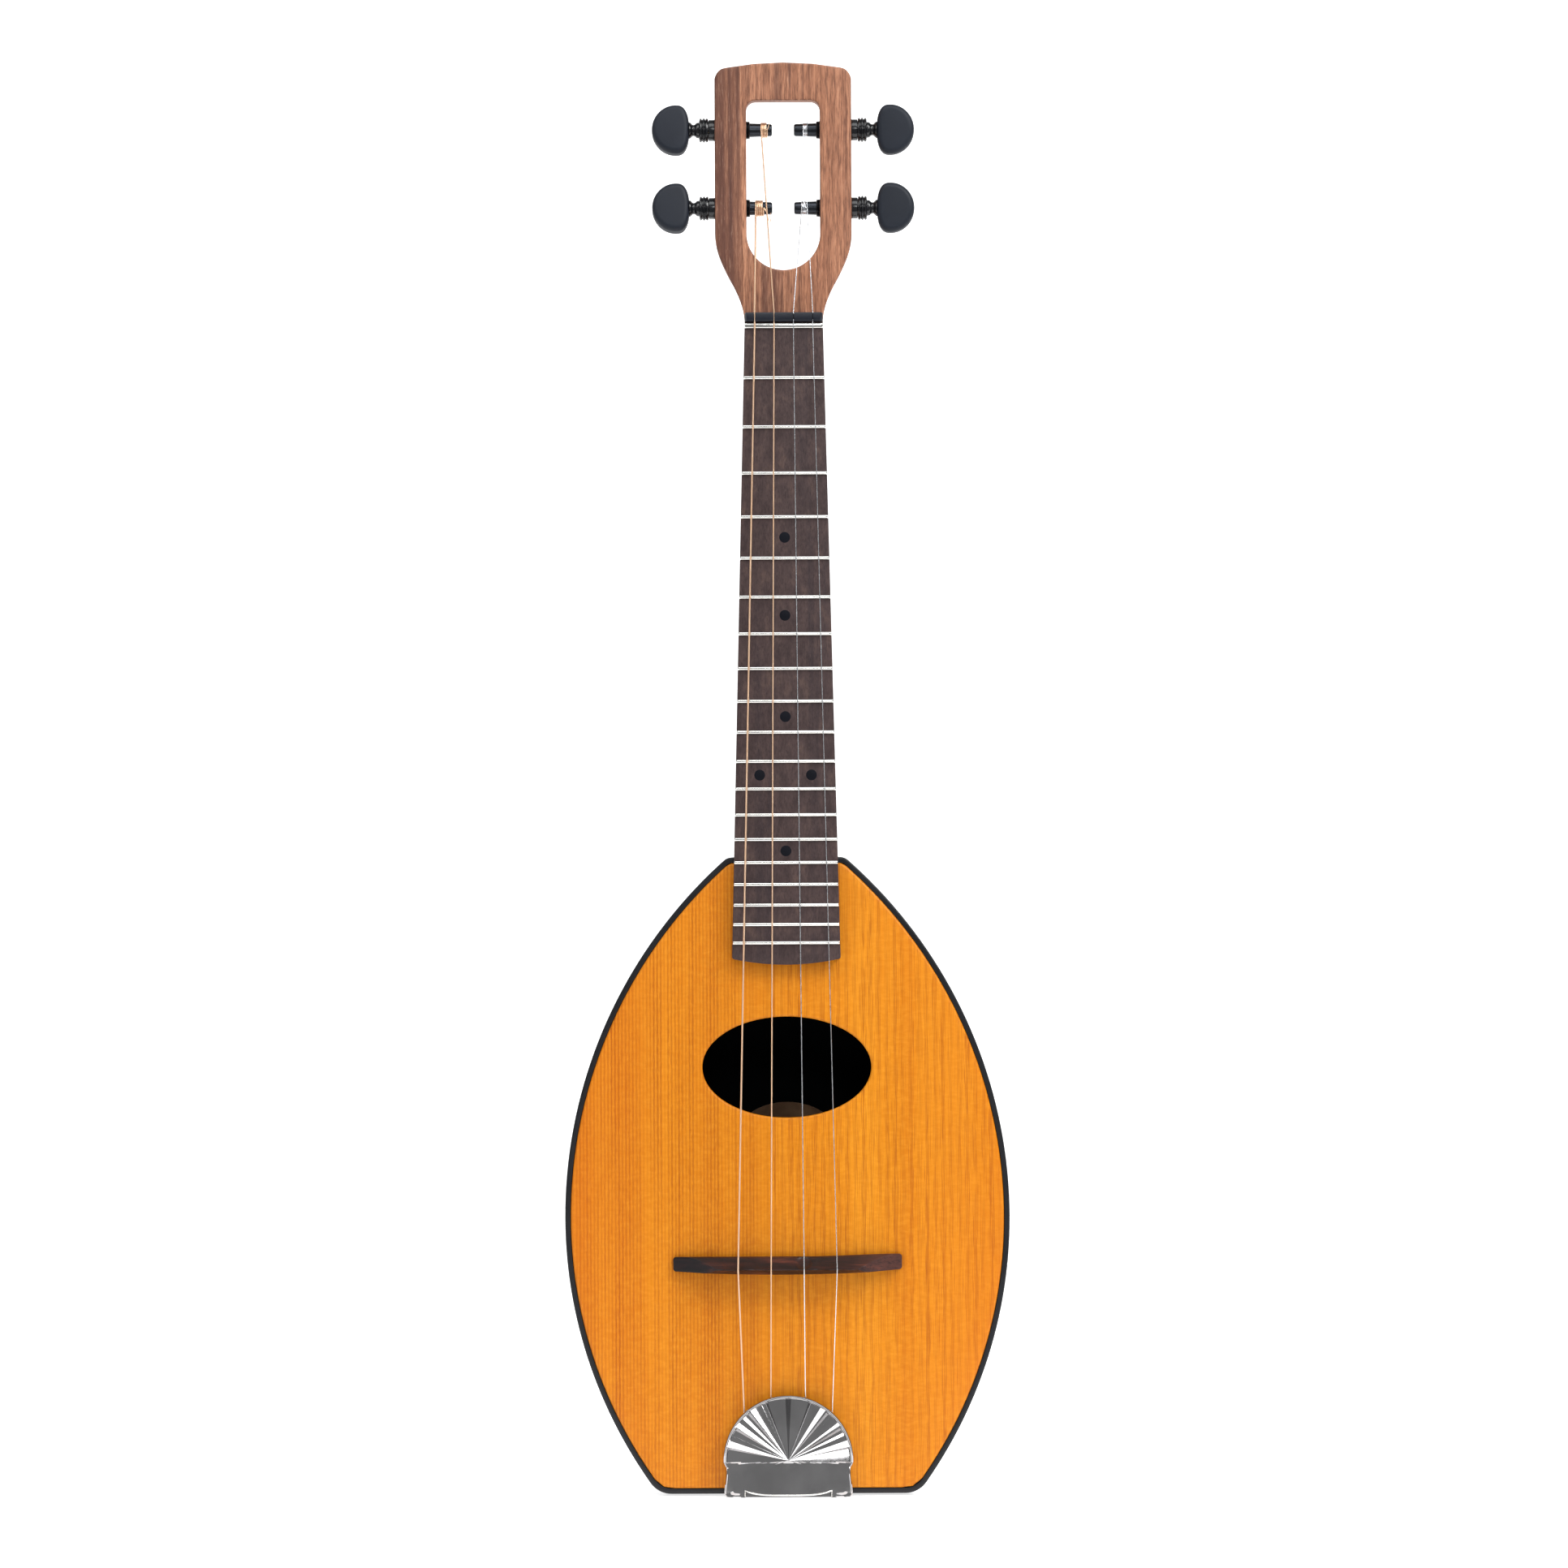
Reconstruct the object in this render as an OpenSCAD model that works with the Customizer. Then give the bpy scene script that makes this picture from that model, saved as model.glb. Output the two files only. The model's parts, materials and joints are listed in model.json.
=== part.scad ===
// Four-string short-scale plucked lute with a moulded bowl back, a slotted
// headstock, geared pegs, a floating bridge and a hinged fan tailpiece.
// Millimetres. +Z runs up the neck, the front faces -Y, and the origin is in
// the middle of the flat base that the instrument stands on.

/* [Body] */
// Length of the body from the flat base to the shoulder
body_len = 297; // [270:1:360]
// Widest width of the body
body_w = 207.6; // [172:0.1:250]
// Height of the widest point above the base
widest_z = 129; // [107:1:155]
// Width of the flat shoulder where the neck joins
shoulder_w = 55; // [52:1:66]
// Width that the two sides would have at the base without corners
base_w = 121.4; // [101:0.1:146]
// Radius of the two corners at the base
base_corner_r = 12; // [8:0.5:14]
// Depth of the bowl behind its rim
bowl_depth = 68; // [57:1:82]
// Wall of the moulded bowl, which is also the black rim seen from the front
wall = 2.5; // [2:0.1:3]
// Distance from the origin forward to the face of the soundboard
board_front = 24; // [24:0.5:25]

/* [Soundboard] */
// Thickness of the soundboard
board_t = 3; // [2.5:0.1:3.6]
// How far the soundboard's face stands proud of the rim
board_proud = 0.8; // [0.4:0.1:1.2]
// Width of the ledge that the soundboard is glued to
ledge_w = 6; // [5:0.5:7.5]
// Thickness of that ledge
ledge_t = 3; // [2.5:0.1:3.6]
// Width of the oval sound hole
hole_w = 78.8; // [66:0.1:94]
// Height of the oval sound hole
hole_h = 47.2; // [40:0.1:56]
// Height of the sound hole's centre above the base
hole_z = 199.1; // [190:0.1:205]
// Gap left round glued and seated wooden pieces
seat_gap = 0.1; // [0.05:0.01:0.15]

/* [Neck and fretboard] */
// Sounding length from the zero fret to the end of the scale
scale_len = 431.8; // [400:0.1:500]
// Frets after the zero fret
fret_count = 19; // [17:1:20]
// Distance of the fifteenth fret inside the shoulder
join_inset = 2.35; // [1:0.05:4]
// Width of the fretboard at the nut
nut_w = 36.5; // [34:0.1:40]
// Width of the fretboard at its lower end
board_end_w = 50.6; // [46:0.1:52]
// Length of fretboard past the last fret
board_tail = 10.2; // [8:0.1:12]
// Thickness of the fretboard
fretboard_t = 5; // [4.2:0.1:6]
// Width of a fret's crown
fret_w = 1.7; // [1.4:0.1:2]
// Height of a fret's crown
fret_h = 1; // [0.85:0.05:1.2]
// Depth of a fret's tang in the fretboard
tang_depth = 1.6; // [1.3:0.1:1.9]
// Thickness of a fret's tang
tang_t = 0.5; // [0.4:0.05:0.6]
// Diameter of a position dot
dot_d = 5.1; // [4.2:0.1:6.1]
// Depth of a position dot
dot_t = 1; // [0.8:0.1:1.2]
// Depth of the neck behind the fretboard at the nut
neck_depth = 15; // [14.5:0.5:18]
// Depth of the neck's heel at the body
heel_depth = 22; // [19:0.5:23]
// Length of the sweep from the neck into the heel
heel_len = 34; // [28:1:41]

/* [Headstock] */
// Width of the headstock
head_w = 63.8; // [62:0.1:70]
// Thickness of the headstock
head_t = 14; // [12.5:0.5:14.5]
// Height of the headstock's top above the zero fret
head_top = 123.2; // [120:0.1:145]
// Width of the string slot
slot_w = 34.4; // [33.5:0.1:36]
// Height of the slot's top above the zero fret
slot_top = 105.4; // [102:0.1:108]
// Radius of the slot's two upper corners
slot_corner_r = 4.3; // [3:0.1:5.2]
// Height of the lower pegs above the zero fret
peg_low = 55.5; // [53:0.5:60]
// Distance from the lower pegs to the upper pegs
peg_rise = 36.5; // [33:0.5:40]
// Width of the gap between facing posts
post_gap = 10.2; // [9:0.1:12]

/* [Geared pegs] */
// Outside diameter of the threaded gear case
case_d = 8.4; // [8:0.1:9.5]
// Diameter of the fixed collar outside the wood
collar_d = 10; // [9.5:0.1:12]
// Length of the collar
collar_len = 3; // [2.5:0.1:3.6]
// Diameter of the ringed foot of the button
ring_d = 11.4; // [10:0.1:13]
// Length of the ringed foot
ring_len = 4; // [3.4:0.1:4.8]
// Length of the button's stem between its foot and its head
stem_len = 4.6; // [3.9:0.1:5.5]
// Width of the button's head along the peg
head_len = 17.5; // [14.6:0.1:21]
// Height of the button's head across the peg
head_span = 23; // [19.2:0.1:27.6]
// Thickness of the button's head
head_thick = 9; // [7.5:0.1:10.8]
// Diameter of the string post where it leaves the wood
post_root_d = 6.5; // [6.2:0.1:6.6]
// Diameter of the string post at its tip
post_tip_d = 5.7; // [4.8:0.1:6.1]
// Tooth module of the planetary gears
gear_m = 0.19; // [0.185:0.001:0.193]
// Radial clearance of a turning shaft in its bore
run_gap = 0.05; // [0.03:0.01:0.08]

/* [Bridge and tailpiece] */
// Length of the floating bridge
bridge_len = 106.7; // [89:0.1:128]
// Thickness of the bridge's foot
bridge_foot = 8; // [6.7:0.1:9.6]
// Thickness of the bridge's crest
bridge_crest = 3; // [2.5:0.1:3.6]
// Height of the strings' seat above the soundboard
bridge_h = 12; // [11:0.1:14]
// How far the bridge stands below the end of the scale
bridge_comp = 5.5; // [3:0.1:8]
// Radius of the fan of the tailpiece cover
fan_r = 30.3; // [29:0.1:34]
// Height of the fan's centre above the base
fan_z = 16.2; // [15:0.1:18]
// Height of the tailpiece cover above the soundboard
cover_h = 9.5; // [9:0.1:11]
// Thickness of the cover's sheet
cover_t = 1; // [0.8:0.1:1.2]
// Width of the cover's lower panel
panel_w = 59.4; // [56:0.1:60]
// How far the cover's lip hangs below the base
lip_drop = 1.2; // [0.8:0.1:1.4]
// Thickness of the tailpiece base plate
plate_t = 1.2; // [1:0.1:1.4]
// Width of the leg that folds under the body
leg_w = 28; // [24:0.5:33]
// Length of the leg under the body
leg_len = 20; // [17:0.5:22]
// Diameter of the cover's hinge pin
pin_d = 2; // [1.7:0.1:2.2]

/* [Strings] */
// Diameter of the first string
string_d1 = 0.81; // [0.7:0.01:0.97]
// Diameter of the second string
string_d2 = 0.56; // [0.47:0.01:0.67]
// Diameter of the third string
string_d3 = 0.36; // [0.3:0.01:0.43]
// Diameter of the fourth string
string_d4 = 0.28; // [0.24:0.01:0.34]
// Spread of the outer strings at the nut
nut_spread = 27.1; // [25:0.1:29]
// Spread of the outer strings at the bridge
bridge_spread = 46.1; // [42:0.1:50]
// Turns of string on each post
wind_turns = 4; // [3:1:5]

/* [Hidden] */
$fn = 48;
TIP = 0.01;

// The soundboard's face and the planes stacked behind it
top_y = -board_front;
rim_y = top_y + board_proud;
ledge_y = top_y + board_t;
cavity_y = ledge_y + ledge_t;

// Body outline: one arc above and one arc below the widest point
half_w = body_w / 2;
upper_in = half_w - shoulder_w / 2;
upper_rise = body_len - widest_z;
upper_r = (upper_in * upper_in + upper_rise * upper_rise) / (2 * upper_in);
lower_in = half_w - base_w / 2;
lower_r = (lower_in * lower_in + widest_z * widest_z) / (2 * lower_in);
CORNER_STEPS = 6;
LOWER_STEPS = 8;
UPPER_STEPS = 10;

// Bowl section: superellipse rings that keep the base and the shoulder flat
BOWL_POWER = 0.833;
BOWL_STEPS = 10;
BOWL_LAST = 84;
bowl_mid_z = body_len / 2;
BASE_HOLD = 1.10;
BASE_FADE = 0.45;
SHOULDER_HOLD = 1.035;
SHOULDER_FADE = 0.70;

// Scale and neck
zero_z = body_len - join_inset + scale_len * (1 - pow(2, -15 / 12));
bridge_z = zero_z - scale_len - bridge_comp;
board_top_z = zero_z + 1.9;
nut_len = 4.3;
nut_top_z = board_top_z + nut_len;
board_end_z = fret_z(fret_count) - board_tail;
board_end_sag = 2.8;
nut_rise = fretboard_t + 2.4;
NECK_STEPS = 12;

// Headstock
flare_start = zero_z + 1.1;
flare_len = 42;
slot_r = slot_w / 2;
slot_low_z = zero_z + 43.5;
head_arc_drop = 3.5;
head_corner_r = 4.2;
peg_y = top_y + head_t / 2;
peg_z = [for (high = [0, 1, 0, 1]) zero_z + peg_low + high * peg_rise];
peg_side = [-1, -1, 1, 1];

// Places along a peg, measured outward from the middle of the slot
wood_in = slot_w / 2;
wood_out = head_w / 2;
post_tip = post_gap / 2;
case_in = wood_in - 1;
chamber_in = wood_in + 2.8;
carrier_out = chamber_in + 2;
gear_in = carrier_out + 0.2;
gear_len = 3.8;
gear_out = gear_in + gear_len;
thrust_in = gear_out + 1;
thrust_len = 1.2;
plug_in = thrust_in + thrust_len + 0.2;
collar_out = wood_out + collar_len;
foot_in = collar_out + 0.3;
foot_out = foot_in + ring_len;
button_in = foot_out + stem_len;
button_out = button_in + head_len;
shaft_r = 2;
spindle_r = 1.5;
spindle_out = button_in + 8;

// Planetary gears: sun and planets have 12 teeth and the ring has 36
SUN_TEETH = 12;
RING_TEETH = 36;
sun_r = gear_m * SUN_TEETH / 2;
ring_r = gear_m * RING_TEETH / 2;
orbit_r = 2 * sun_r;
tooth_add = 0.7 * gear_m;
tooth_ded = gear_m;
chamber_r = ring_r + tooth_ded + 0.01;
planet_pin_r = 0.5;

// Tailpiece
hinge_y = top_y - 3.6;
hinge_z = 3;
knuckle_r = 2.2;
plate_w = 48;
plate_top = 42;
hook_z = 31;
hook_r = 1;
hook_rise = plate_t + 3.4;
screw_y = top_y + 13;
screw_r = 1.5;
screw_head_r = 2.9;
screw_len = 15;
screw_x = [-9, 0, 9];
cover_gap = 0.3;
cutout_w = 40;
cutout_top = 1.7;
string_pass = 6.4;
tail_x = [-20.35, -8.1, 8.1, 20.35];

// Neck bolts
bolt_x = [-9, 9];
bolt_y = top_y + 11;
bolt_r = 2.5;
block_z = body_len - wall - 32;
bolt_head_len = 3.5;
bolt_reach = 18;

// Strings
string_r = [string_d1 / 2, string_d2 / 2, string_d3 / 2, string_d4 / 2];
string_share = [-0.5, -1 / 6, 1 / 6, 0.5];
LIFT = 0.03;
WIND_GAP = 0.06;
wind_at = [wood_in * 0.64, wood_in * 0.51, wood_in * 0.56, wood_in * 0.60];
// Which end of its winding each string comes in at: 1 is next to the wood
wind_end = [1, 1, -1, -1];
CORD_SIDES = 8;

// ---------- Rules for places and outlines ----------

// Height of fret n above the base
function fret_z(n) = zero_z - scale_len * (1 - pow(2, -n / 12));

// Half width of the fretboard at height z
function fretboard_half(z) =
    nut_w / 2 + (board_end_w - nut_w) / 2 * (board_top_z - z) / (board_top_z - board_end_z);

// Right half of the body outline, from the base up, moved inward by inset
function body_side(inset) = let (
    low_x = half_w - lower_r,
    up_x = half_w - upper_r,
    low_r = lower_r - inset,
    up_r = upper_r - inset,
    corner = base_corner_r - min(inset, base_corner_r - 2),
    corner_z = inset + corner,
    corner_x = low_x + sqrt(pow(low_r - corner, 2) - pow(widest_z - corner_z, 2)),
    touch = atan2(corner_z - widest_z, corner_x - low_x),
    top_angle = asin((upper_rise - inset) / up_r)
) concat(
    [for (k = [0:CORNER_STEPS]) let (a = -90 + (touch + 90) * k / CORNER_STEPS)
        [corner_x + corner * cos(a), corner_z + corner * sin(a)]],
    [for (k = [1:LOWER_STEPS]) let (a = touch * (1 - k / LOWER_STEPS))
        [low_x + low_r * cos(a), widest_z + low_r * sin(a)]],
    [for (k = [1:UPPER_STEPS]) let (a = top_angle * k / UPPER_STEPS)
        [up_x + up_r * cos(a), widest_z + up_r * sin(a)]]
);

// The whole body outline as points of x and z
function body_outline(inset) = let (side = body_side(inset), n = len(side))
    concat(side, [for (k = [0:n - 1]) [-side[n - 1 - k].x, side[n - 1 - k].y]]);

// How much the rings keep of their height below and above the bowl's middle
function base_keep(a) = min(1, BASE_HOLD * pow(cos(a), BASE_FADE));
function shoulder_keep(a) = min(1, SHOULDER_HOLD * pow(cos(a), SHOULDER_FADE));

// One ring of the bowl at section angle a
function bowl_ring(outline, depth, a) = let (s = pow(cos(a), BOWL_POWER))
    [for (p = outline) let (keep = p.y < bowl_mid_z ? base_keep(a) : shoulder_keep(a))
        [p.x * s, rim_y + depth * pow(sin(a), BOWL_POWER), bowl_mid_z + (p.y - bowl_mid_z) * keep]];

// Half width and depth of the neck, and one D-shaped ring of it
function heel_share(z) = let (t = max(0, 1 - (z - body_len) / heel_len)) t * t * (3 - 2 * t);
function neck_back(z) = neck_depth + (heel_depth - neck_depth) * heel_share(z);
function neck_ring(z) = [for (k = [0:16]) let (a = 180 - 180 * k / 16)
    [fretboard_half(min(z, board_top_z)) * cos(a), top_y + neck_back(z) * pow(sin(a), 0.85), z]];

// Half width of the headstock where it swells from the nut
function flare_half(z) = let (t = min(1, max(0, (z - flare_start) / flare_len)))
    nut_w / 2 + (head_w - nut_w) / 2 * (1 - cos(180 * t)) / 2;

// Teeth as a closed outline: root and tip are radii, turned by phase
function gear_outline(teeth, root, tip, phase) = [
    for (k = [0:teeth - 1])
        for (corner = [[root, -0.22], [tip, -0.11], [tip, 0.11], [root, 0.22]])
            let (a = phase + 360 / teeth * (k + corner[1]))
                [corner[0] * cos(a), corner[0] * sin(a)]
];

// Radius of a string post at distance x from the middle of the slot
function post_r(x) = let (t = (x - post_tip) / (case_in - post_tip))
    post_tip_d / 2 + (post_root_d - post_tip_d) / 2 * t;

// Route of string n: hook, bridge, zero fret, nut and post
function string_x(n, spread) = string_share[n] * spread;
function string_route(n) = let (
    r = string_r[n],
    on_post = wind_at[n] + wind_end[n] * (2 * r + WIND_GAP) * (wind_turns + 1) / 2,
    fret_y = top_y - fretboard_t - fret_h - r - LIFT
) [
    [tail_x[n], top_y - plate_t - 1.6, hook_z + hook_r + 0.3],
    [string_x(n, bridge_spread), top_y - bridge_h - r - LIFT, bridge_z - bridge_crest / 2],
    [string_x(n, bridge_spread), top_y - bridge_h - r - LIFT, bridge_z + bridge_crest / 2],
    [string_x(n, nut_spread), fret_y, zero_z],
    [string_x(n, nut_spread), fret_y + 0.1, nut_top_z],
    [peg_side[n] * on_post, peg_y - post_r(on_post) - r - 0.1, peg_z[n] - 0.2]
];

// ---------- Shared shapes ----------

// Closed skin through rings that all have the same number of points
module skin(rings) {
    n = len(rings[0]);
    last = len(rings) - 1;
    points = [for (ring = rings) for (p = ring) p];
    sides = [for (i = [0:last - 1]) for (k = [0:n - 1]) let (m = (k + 1) % n)
        for (tri = [[i * n + k, i * n + m, i * n + n + k], [i * n + m, i * n + n + m, i * n + n + k]])
            tri];
    caps = [[for (k = [0:n - 1]) n - 1 - k], [for (k = [0:n - 1]) last * n + k]];
    polyhedron(points = points, faces = concat(sides, caps), convexity = 4);
}

// Solid bowl with its outline moved inward by inset
module bowl(inset, depth) {
    outline = body_outline(inset);
    skin([for (k = [0:BOWL_STEPS]) bowl_ring(outline, depth, BOWL_LAST * k / BOWL_STEPS)]);
}

// Upright plate of a 2D outline given in x and z, from y back by thick
module plate(y, thick) {
    translate([0, y + thick, 0]) rotate([90, 0, 0]) linear_extrude(thick) children();
}

// Body outline filled in, moved inward by inset
module body_face(inset) {
    polygon(body_outline(inset));
}

// Oval given by its full width and height
module oval(w, h) {
    polygon([for (k = [0:63]) [w / 2 * cos(k * 360 / 64), h / 2 * sin(k * 360 / 64)]]);
}

// Box given by its two corners
module box(low, high) {
    translate(low) cube(high - low);
}

// Turns the local +Z of a peg outward along its own axis
module at_peg(n) {
    translate([0, peg_y, peg_z[n]]) rotate([0, 90 * peg_side[n], 0]) children();
}

// Cylinder along a peg between two distances from the slot's middle
module barrel(from, to, r) {
    translate([0, 0, from]) cylinder(h = to - from, r = r);
}

// Upright cylinder of radius r standing at x and y
module upright(x, y, from, to, r) {
    translate([x, y, from]) cylinder(h = to - from, r = r);
}

// ---------- Body ----------

module body_shell() {
    color("#23262b") difference() {
        bowl(0, bowl_depth);
        intersection() {
            bowl(wall, bowl_depth - wall);
            box([-body_w, cavity_y, -1], [body_w, cavity_y + bowl_depth, body_len + 1]);
        }
        plate(rim_y - 1, ledge_y - rim_y + 1) body_face(wall);
        plate(rim_y - 1, cavity_y - rim_y + 2) body_face(wall + ledge_w);
        box([-leg_w / 2 - seat_gap, rim_y - 1, -1],
            [leg_w / 2 + seat_gap, top_y + leg_len + seat_gap, plate_t]);
        for (x = screw_x) upright(x, screw_y, -1, wall + 1, screw_r + seat_gap);
        for (x = bolt_x) upright(x, bolt_y, body_len - wall - 1, body_len + 1, bolt_r + seat_gap);
    }
}

module soundboard() {
    color("#e8963c") difference() {
        plate(top_y, board_t) body_face(wall + seat_gap);
        plate(top_y - 1, board_t + 2) translate([0, hole_z]) oval(hole_w, hole_h);
    }
}

// Spruce bars glued behind the soundboard: two across and two lengthwise
module soundboard_braces() {
    bar_t = 6;
    bar_h = 8;
    color("#d9b98a") {
        for (z = [hole_z + hole_h / 2 + 9, hole_z - hole_h / 2 - 9]) {
            reach = body_reach(z) - 8;
            translate([0, 0, z - bar_t / 2]) linear_extrude(bar_t) polygon([
                [-reach, ledge_y], [reach, ledge_y],
                [reach - 16, ledge_y + bar_h], [16 - reach, ledge_y + bar_h]
            ]);
        }
        for (x = [-30, 30]) {
            top = hole_z - hole_h / 2 - 9 - bar_t / 2;
            translate([x - bar_t / 2, 0, 0]) rotate([90, 0, 90]) linear_extrude(bar_t) polygon([
                [ledge_y, 34], [ledge_y, top], [ledge_y + bar_h, top], [ledge_y + bar_h, 52]
            ]);
        }
    }
}

// Inner half width of the ledge's opening at height z above the widest point
function body_reach(z) = half_w - upper_r + sqrt(pow(upper_r - wall - ledge_w, 2) - pow(z - widest_z, 2));

module sound_label() {
    label_y = rim_y + (bowl_depth - wall) * pow(sin(82.5), BOWL_POWER);
    color("#b08a5c") plate(label_y - 0.7, 0.4) translate([0, bowl_mid_z + 11]) oval(36, 42);
}

module neck_block() {
    color("#a5764a") difference() {
        box([-20, cavity_y, block_z], [20, top_y + 23.5, body_len - wall]);
        for (x = bolt_x) upright(x, bolt_y, block_z - 1, body_len, bolt_r + seat_gap);
    }
}

module tail_block() {
    color("#a5764a") difference() {
        box([-22, cavity_y, wall], [22, top_y + 30, 24]);
        for (x = screw_x) upright(x, screw_y, 0, screw_len + 1, screw_r + run_gap);
    }
}

// ---------- Neck ----------

// Headstock outline in x and z, from the nut upward
module head_outline() {
    top_z = zero_z + head_top;
    corner_z = top_z - head_arc_drop - head_corner_r;
    side = concat(
        [for (k = [0:NECK_STEPS]) let (z = nut_top_z + (flare_start + flare_len - nut_top_z) * k / NECK_STEPS)
            [flare_half(z), z]],
        [for (k = [0:4]) let (a = 78 * k / 4)
            [head_w / 2 - head_corner_r * (1 - cos(a)), corner_z + head_corner_r * sin(a)]],
        [for (k = [1:4]) let (x = (head_w / 2 - head_corner_r) * (1 - k / 5), t = x / (head_w / 2))
            [x, top_z - head_arc_drop * t * t]]
    );
    polygon(concat(side, [[0, top_z]], [for (k = [len(side) - 1:-1:0]) [-side[k].x, side[k].y]]));
}

// String slot outline: round below, with small corners above
module slot_outline() {
    top_z = zero_z + slot_top;
    translate([0, slot_low_z]) circle(r = slot_r);
    translate([-slot_r, slot_low_z]) square([slot_w, top_z - slot_low_z - slot_corner_r]);
    translate([slot_corner_r - slot_r, slot_low_z]) square([slot_w - 2 * slot_corner_r, top_z - slot_low_z]);
    for (s = [-1, 1])
        translate([s * (slot_r - slot_corner_r), top_z - slot_corner_r]) circle(r = slot_corner_r);
}

module neck() {
    skin_len = zero_z + 20 - body_len;
    color("#8a5238") difference() {
        union() {
            skin([for (k = [0:NECK_STEPS]) neck_ring(body_len + skin_len * pow(k / NECK_STEPS, 1.6))]);
            plate(top_y, head_t) head_outline();
        }
        plate(top_y - 1, head_t + 2) slot_outline();
        for (n = [0:3]) at_peg(n) barrel(wood_in - 2, wood_out + 2, case_d / 2 + run_gap);
        for (x = bolt_x) upright(x, bolt_y, body_len - 1, body_len + bolt_reach + 1, bolt_r + run_gap);
    }
}

module neck_bolts() {
    color("#9a9da2") for (x = bolt_x) {
        upright(x, bolt_y, block_z, body_len + bolt_reach, bolt_r);
        difference() {
            upright(x, bolt_y, block_z - bolt_head_len, block_z, 2 * bolt_r);
            translate([x, bolt_y, block_z - bolt_head_len - 1]) cylinder(h = 3, r = 2, $fn = 6);
        }
    }
}

module fretboard() {
    end = [for (k = [-4:4]) [fretboard_half(board_end_z) * k / 4, board_end_z + board_end_sag * k * k / 16]];
    color("#3f302c") difference() {
        plate(top_y - fretboard_t, fretboard_t)
            polygon(concat(end, [[nut_w / 2, board_top_z], [-nut_w / 2, board_top_z]]));
        for (n = [0:fret_count])
            box([-30, top_y - fretboard_t - 1, fret_z(n) - tang_t / 2],
                [30, top_y - fretboard_t + tang_depth, fret_z(n) + tang_t / 2]);
        for (p = dot_places())
            plate(top_y - fretboard_t - 1, dot_t + 1) translate(p) circle(d = dot_d + 0.04);
    }
}

// Centre of each position dot in x and z: one on 5, 7, 10 and 15, two on 12
function dot_places() = [
    for (mark = [[5, 0], [7, 0], [10, 0], [12, -0.26], [12, 0.26], [15, 0]])
        let (z = (fret_z(mark[0]) + fret_z(mark[0] - 1)) / 2) [mark[1] * 2 * fretboard_half(z), z]
];

module position_dots() {
    color("#101418") for (p = dot_places()) plate(top_y - fretboard_t, dot_t) translate(p) circle(d = dot_d);
}

// One fret: a round crown on a thin tang, as long as the fretboard is wide
module fret(n) {
    crown_r = (fret_w * fret_w / 4 + fret_h * fret_h) / (2 * fret_h);
    reach = fretboard_half(min(fret_z(n), board_top_z));
    face = top_y - fretboard_t;
    intersection() {
        translate([-reach, face - fret_h + crown_r, fret_z(n)]) rotate([0, 90, 0])
            cylinder(h = 2 * reach, r = crown_r);
        box([-reach, face - fret_h - 1, fret_z(n) - fret_w], [reach, face, fret_z(n) + fret_w]);
    }
    box([-reach, face - fret_h / 4, fret_z(n) - tang_t / 2 + 0.02],
        [reach, face + tang_depth - 0.1, fret_z(n) + tang_t / 2 - 0.02]);
}

module zero_fret() {
    color("#d8d8d4") fret(0);
}

module frets() {
    color("#d8d8d4") for (n = [1:fret_count]) fret(n);
}

module nut() {
    reach = nut_w / 2;
    color("#1b1e22") difference() {
        box([-reach, top_y - nut_rise, board_top_z + TIP], [reach, top_y, nut_top_z]);
        for (n = [0:3]) {
            x = string_x(n, nut_spread);
            bottom = top_y - fretboard_t - fret_h + 0.05;
            box([x - string_r[n] - 0.08, top_y - nut_rise - 1, board_top_z - 1],
                [x + string_r[n] + 0.08, bottom + 0.1, nut_top_z + 1]);
        }
    }
}

// ---------- Bridge and tailpiece ----------

// Side elevation of the bridge in x and height: a crest, two scallops and low ends
function bridge_height(t) = t < 0.5
    ? bridge_h
    : 5 + (bridge_h - 5) * pow(cos(180 * (t - 0.5)), 2) * (1 - 0.25 * sin(720 * (t - 0.5)));

module bridge() {
    steps = 24;
    crest = [for (k = [-steps:steps])
        [k / steps * bridge_len / 2, top_y - bridge_height(abs(k) / steps)]];
    color("#4a1f18") difference() {
        intersection() {
            translate([0, 0, bridge_z - bridge_foot / 2]) linear_extrude(bridge_foot)
                polygon(concat(crest, [[bridge_len / 2, top_y], [-bridge_len / 2, top_y]]));
            translate([-bridge_len, 0, bridge_z]) rotate([90, 0, 90]) linear_extrude(2 * bridge_len) polygon([
                [top_y, -bridge_foot / 2], [top_y - 5, -bridge_foot / 2],
                [top_y - bridge_h - 1, -bridge_crest / 2], [top_y - bridge_h - 1, bridge_crest / 2],
                [top_y - 5, bridge_foot / 2], [top_y, bridge_foot / 2]
            ]);
        }
        for (n = [0:3]) {
            x = string_x(n, bridge_spread);
            box([x - string_r[n] - 0.08, top_y - bridge_h - 2, bridge_z - bridge_foot],
                [x + string_r[n] + 0.08, top_y - bridge_h + 0.15, bridge_z + bridge_foot]);
        }
    }
}

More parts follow.
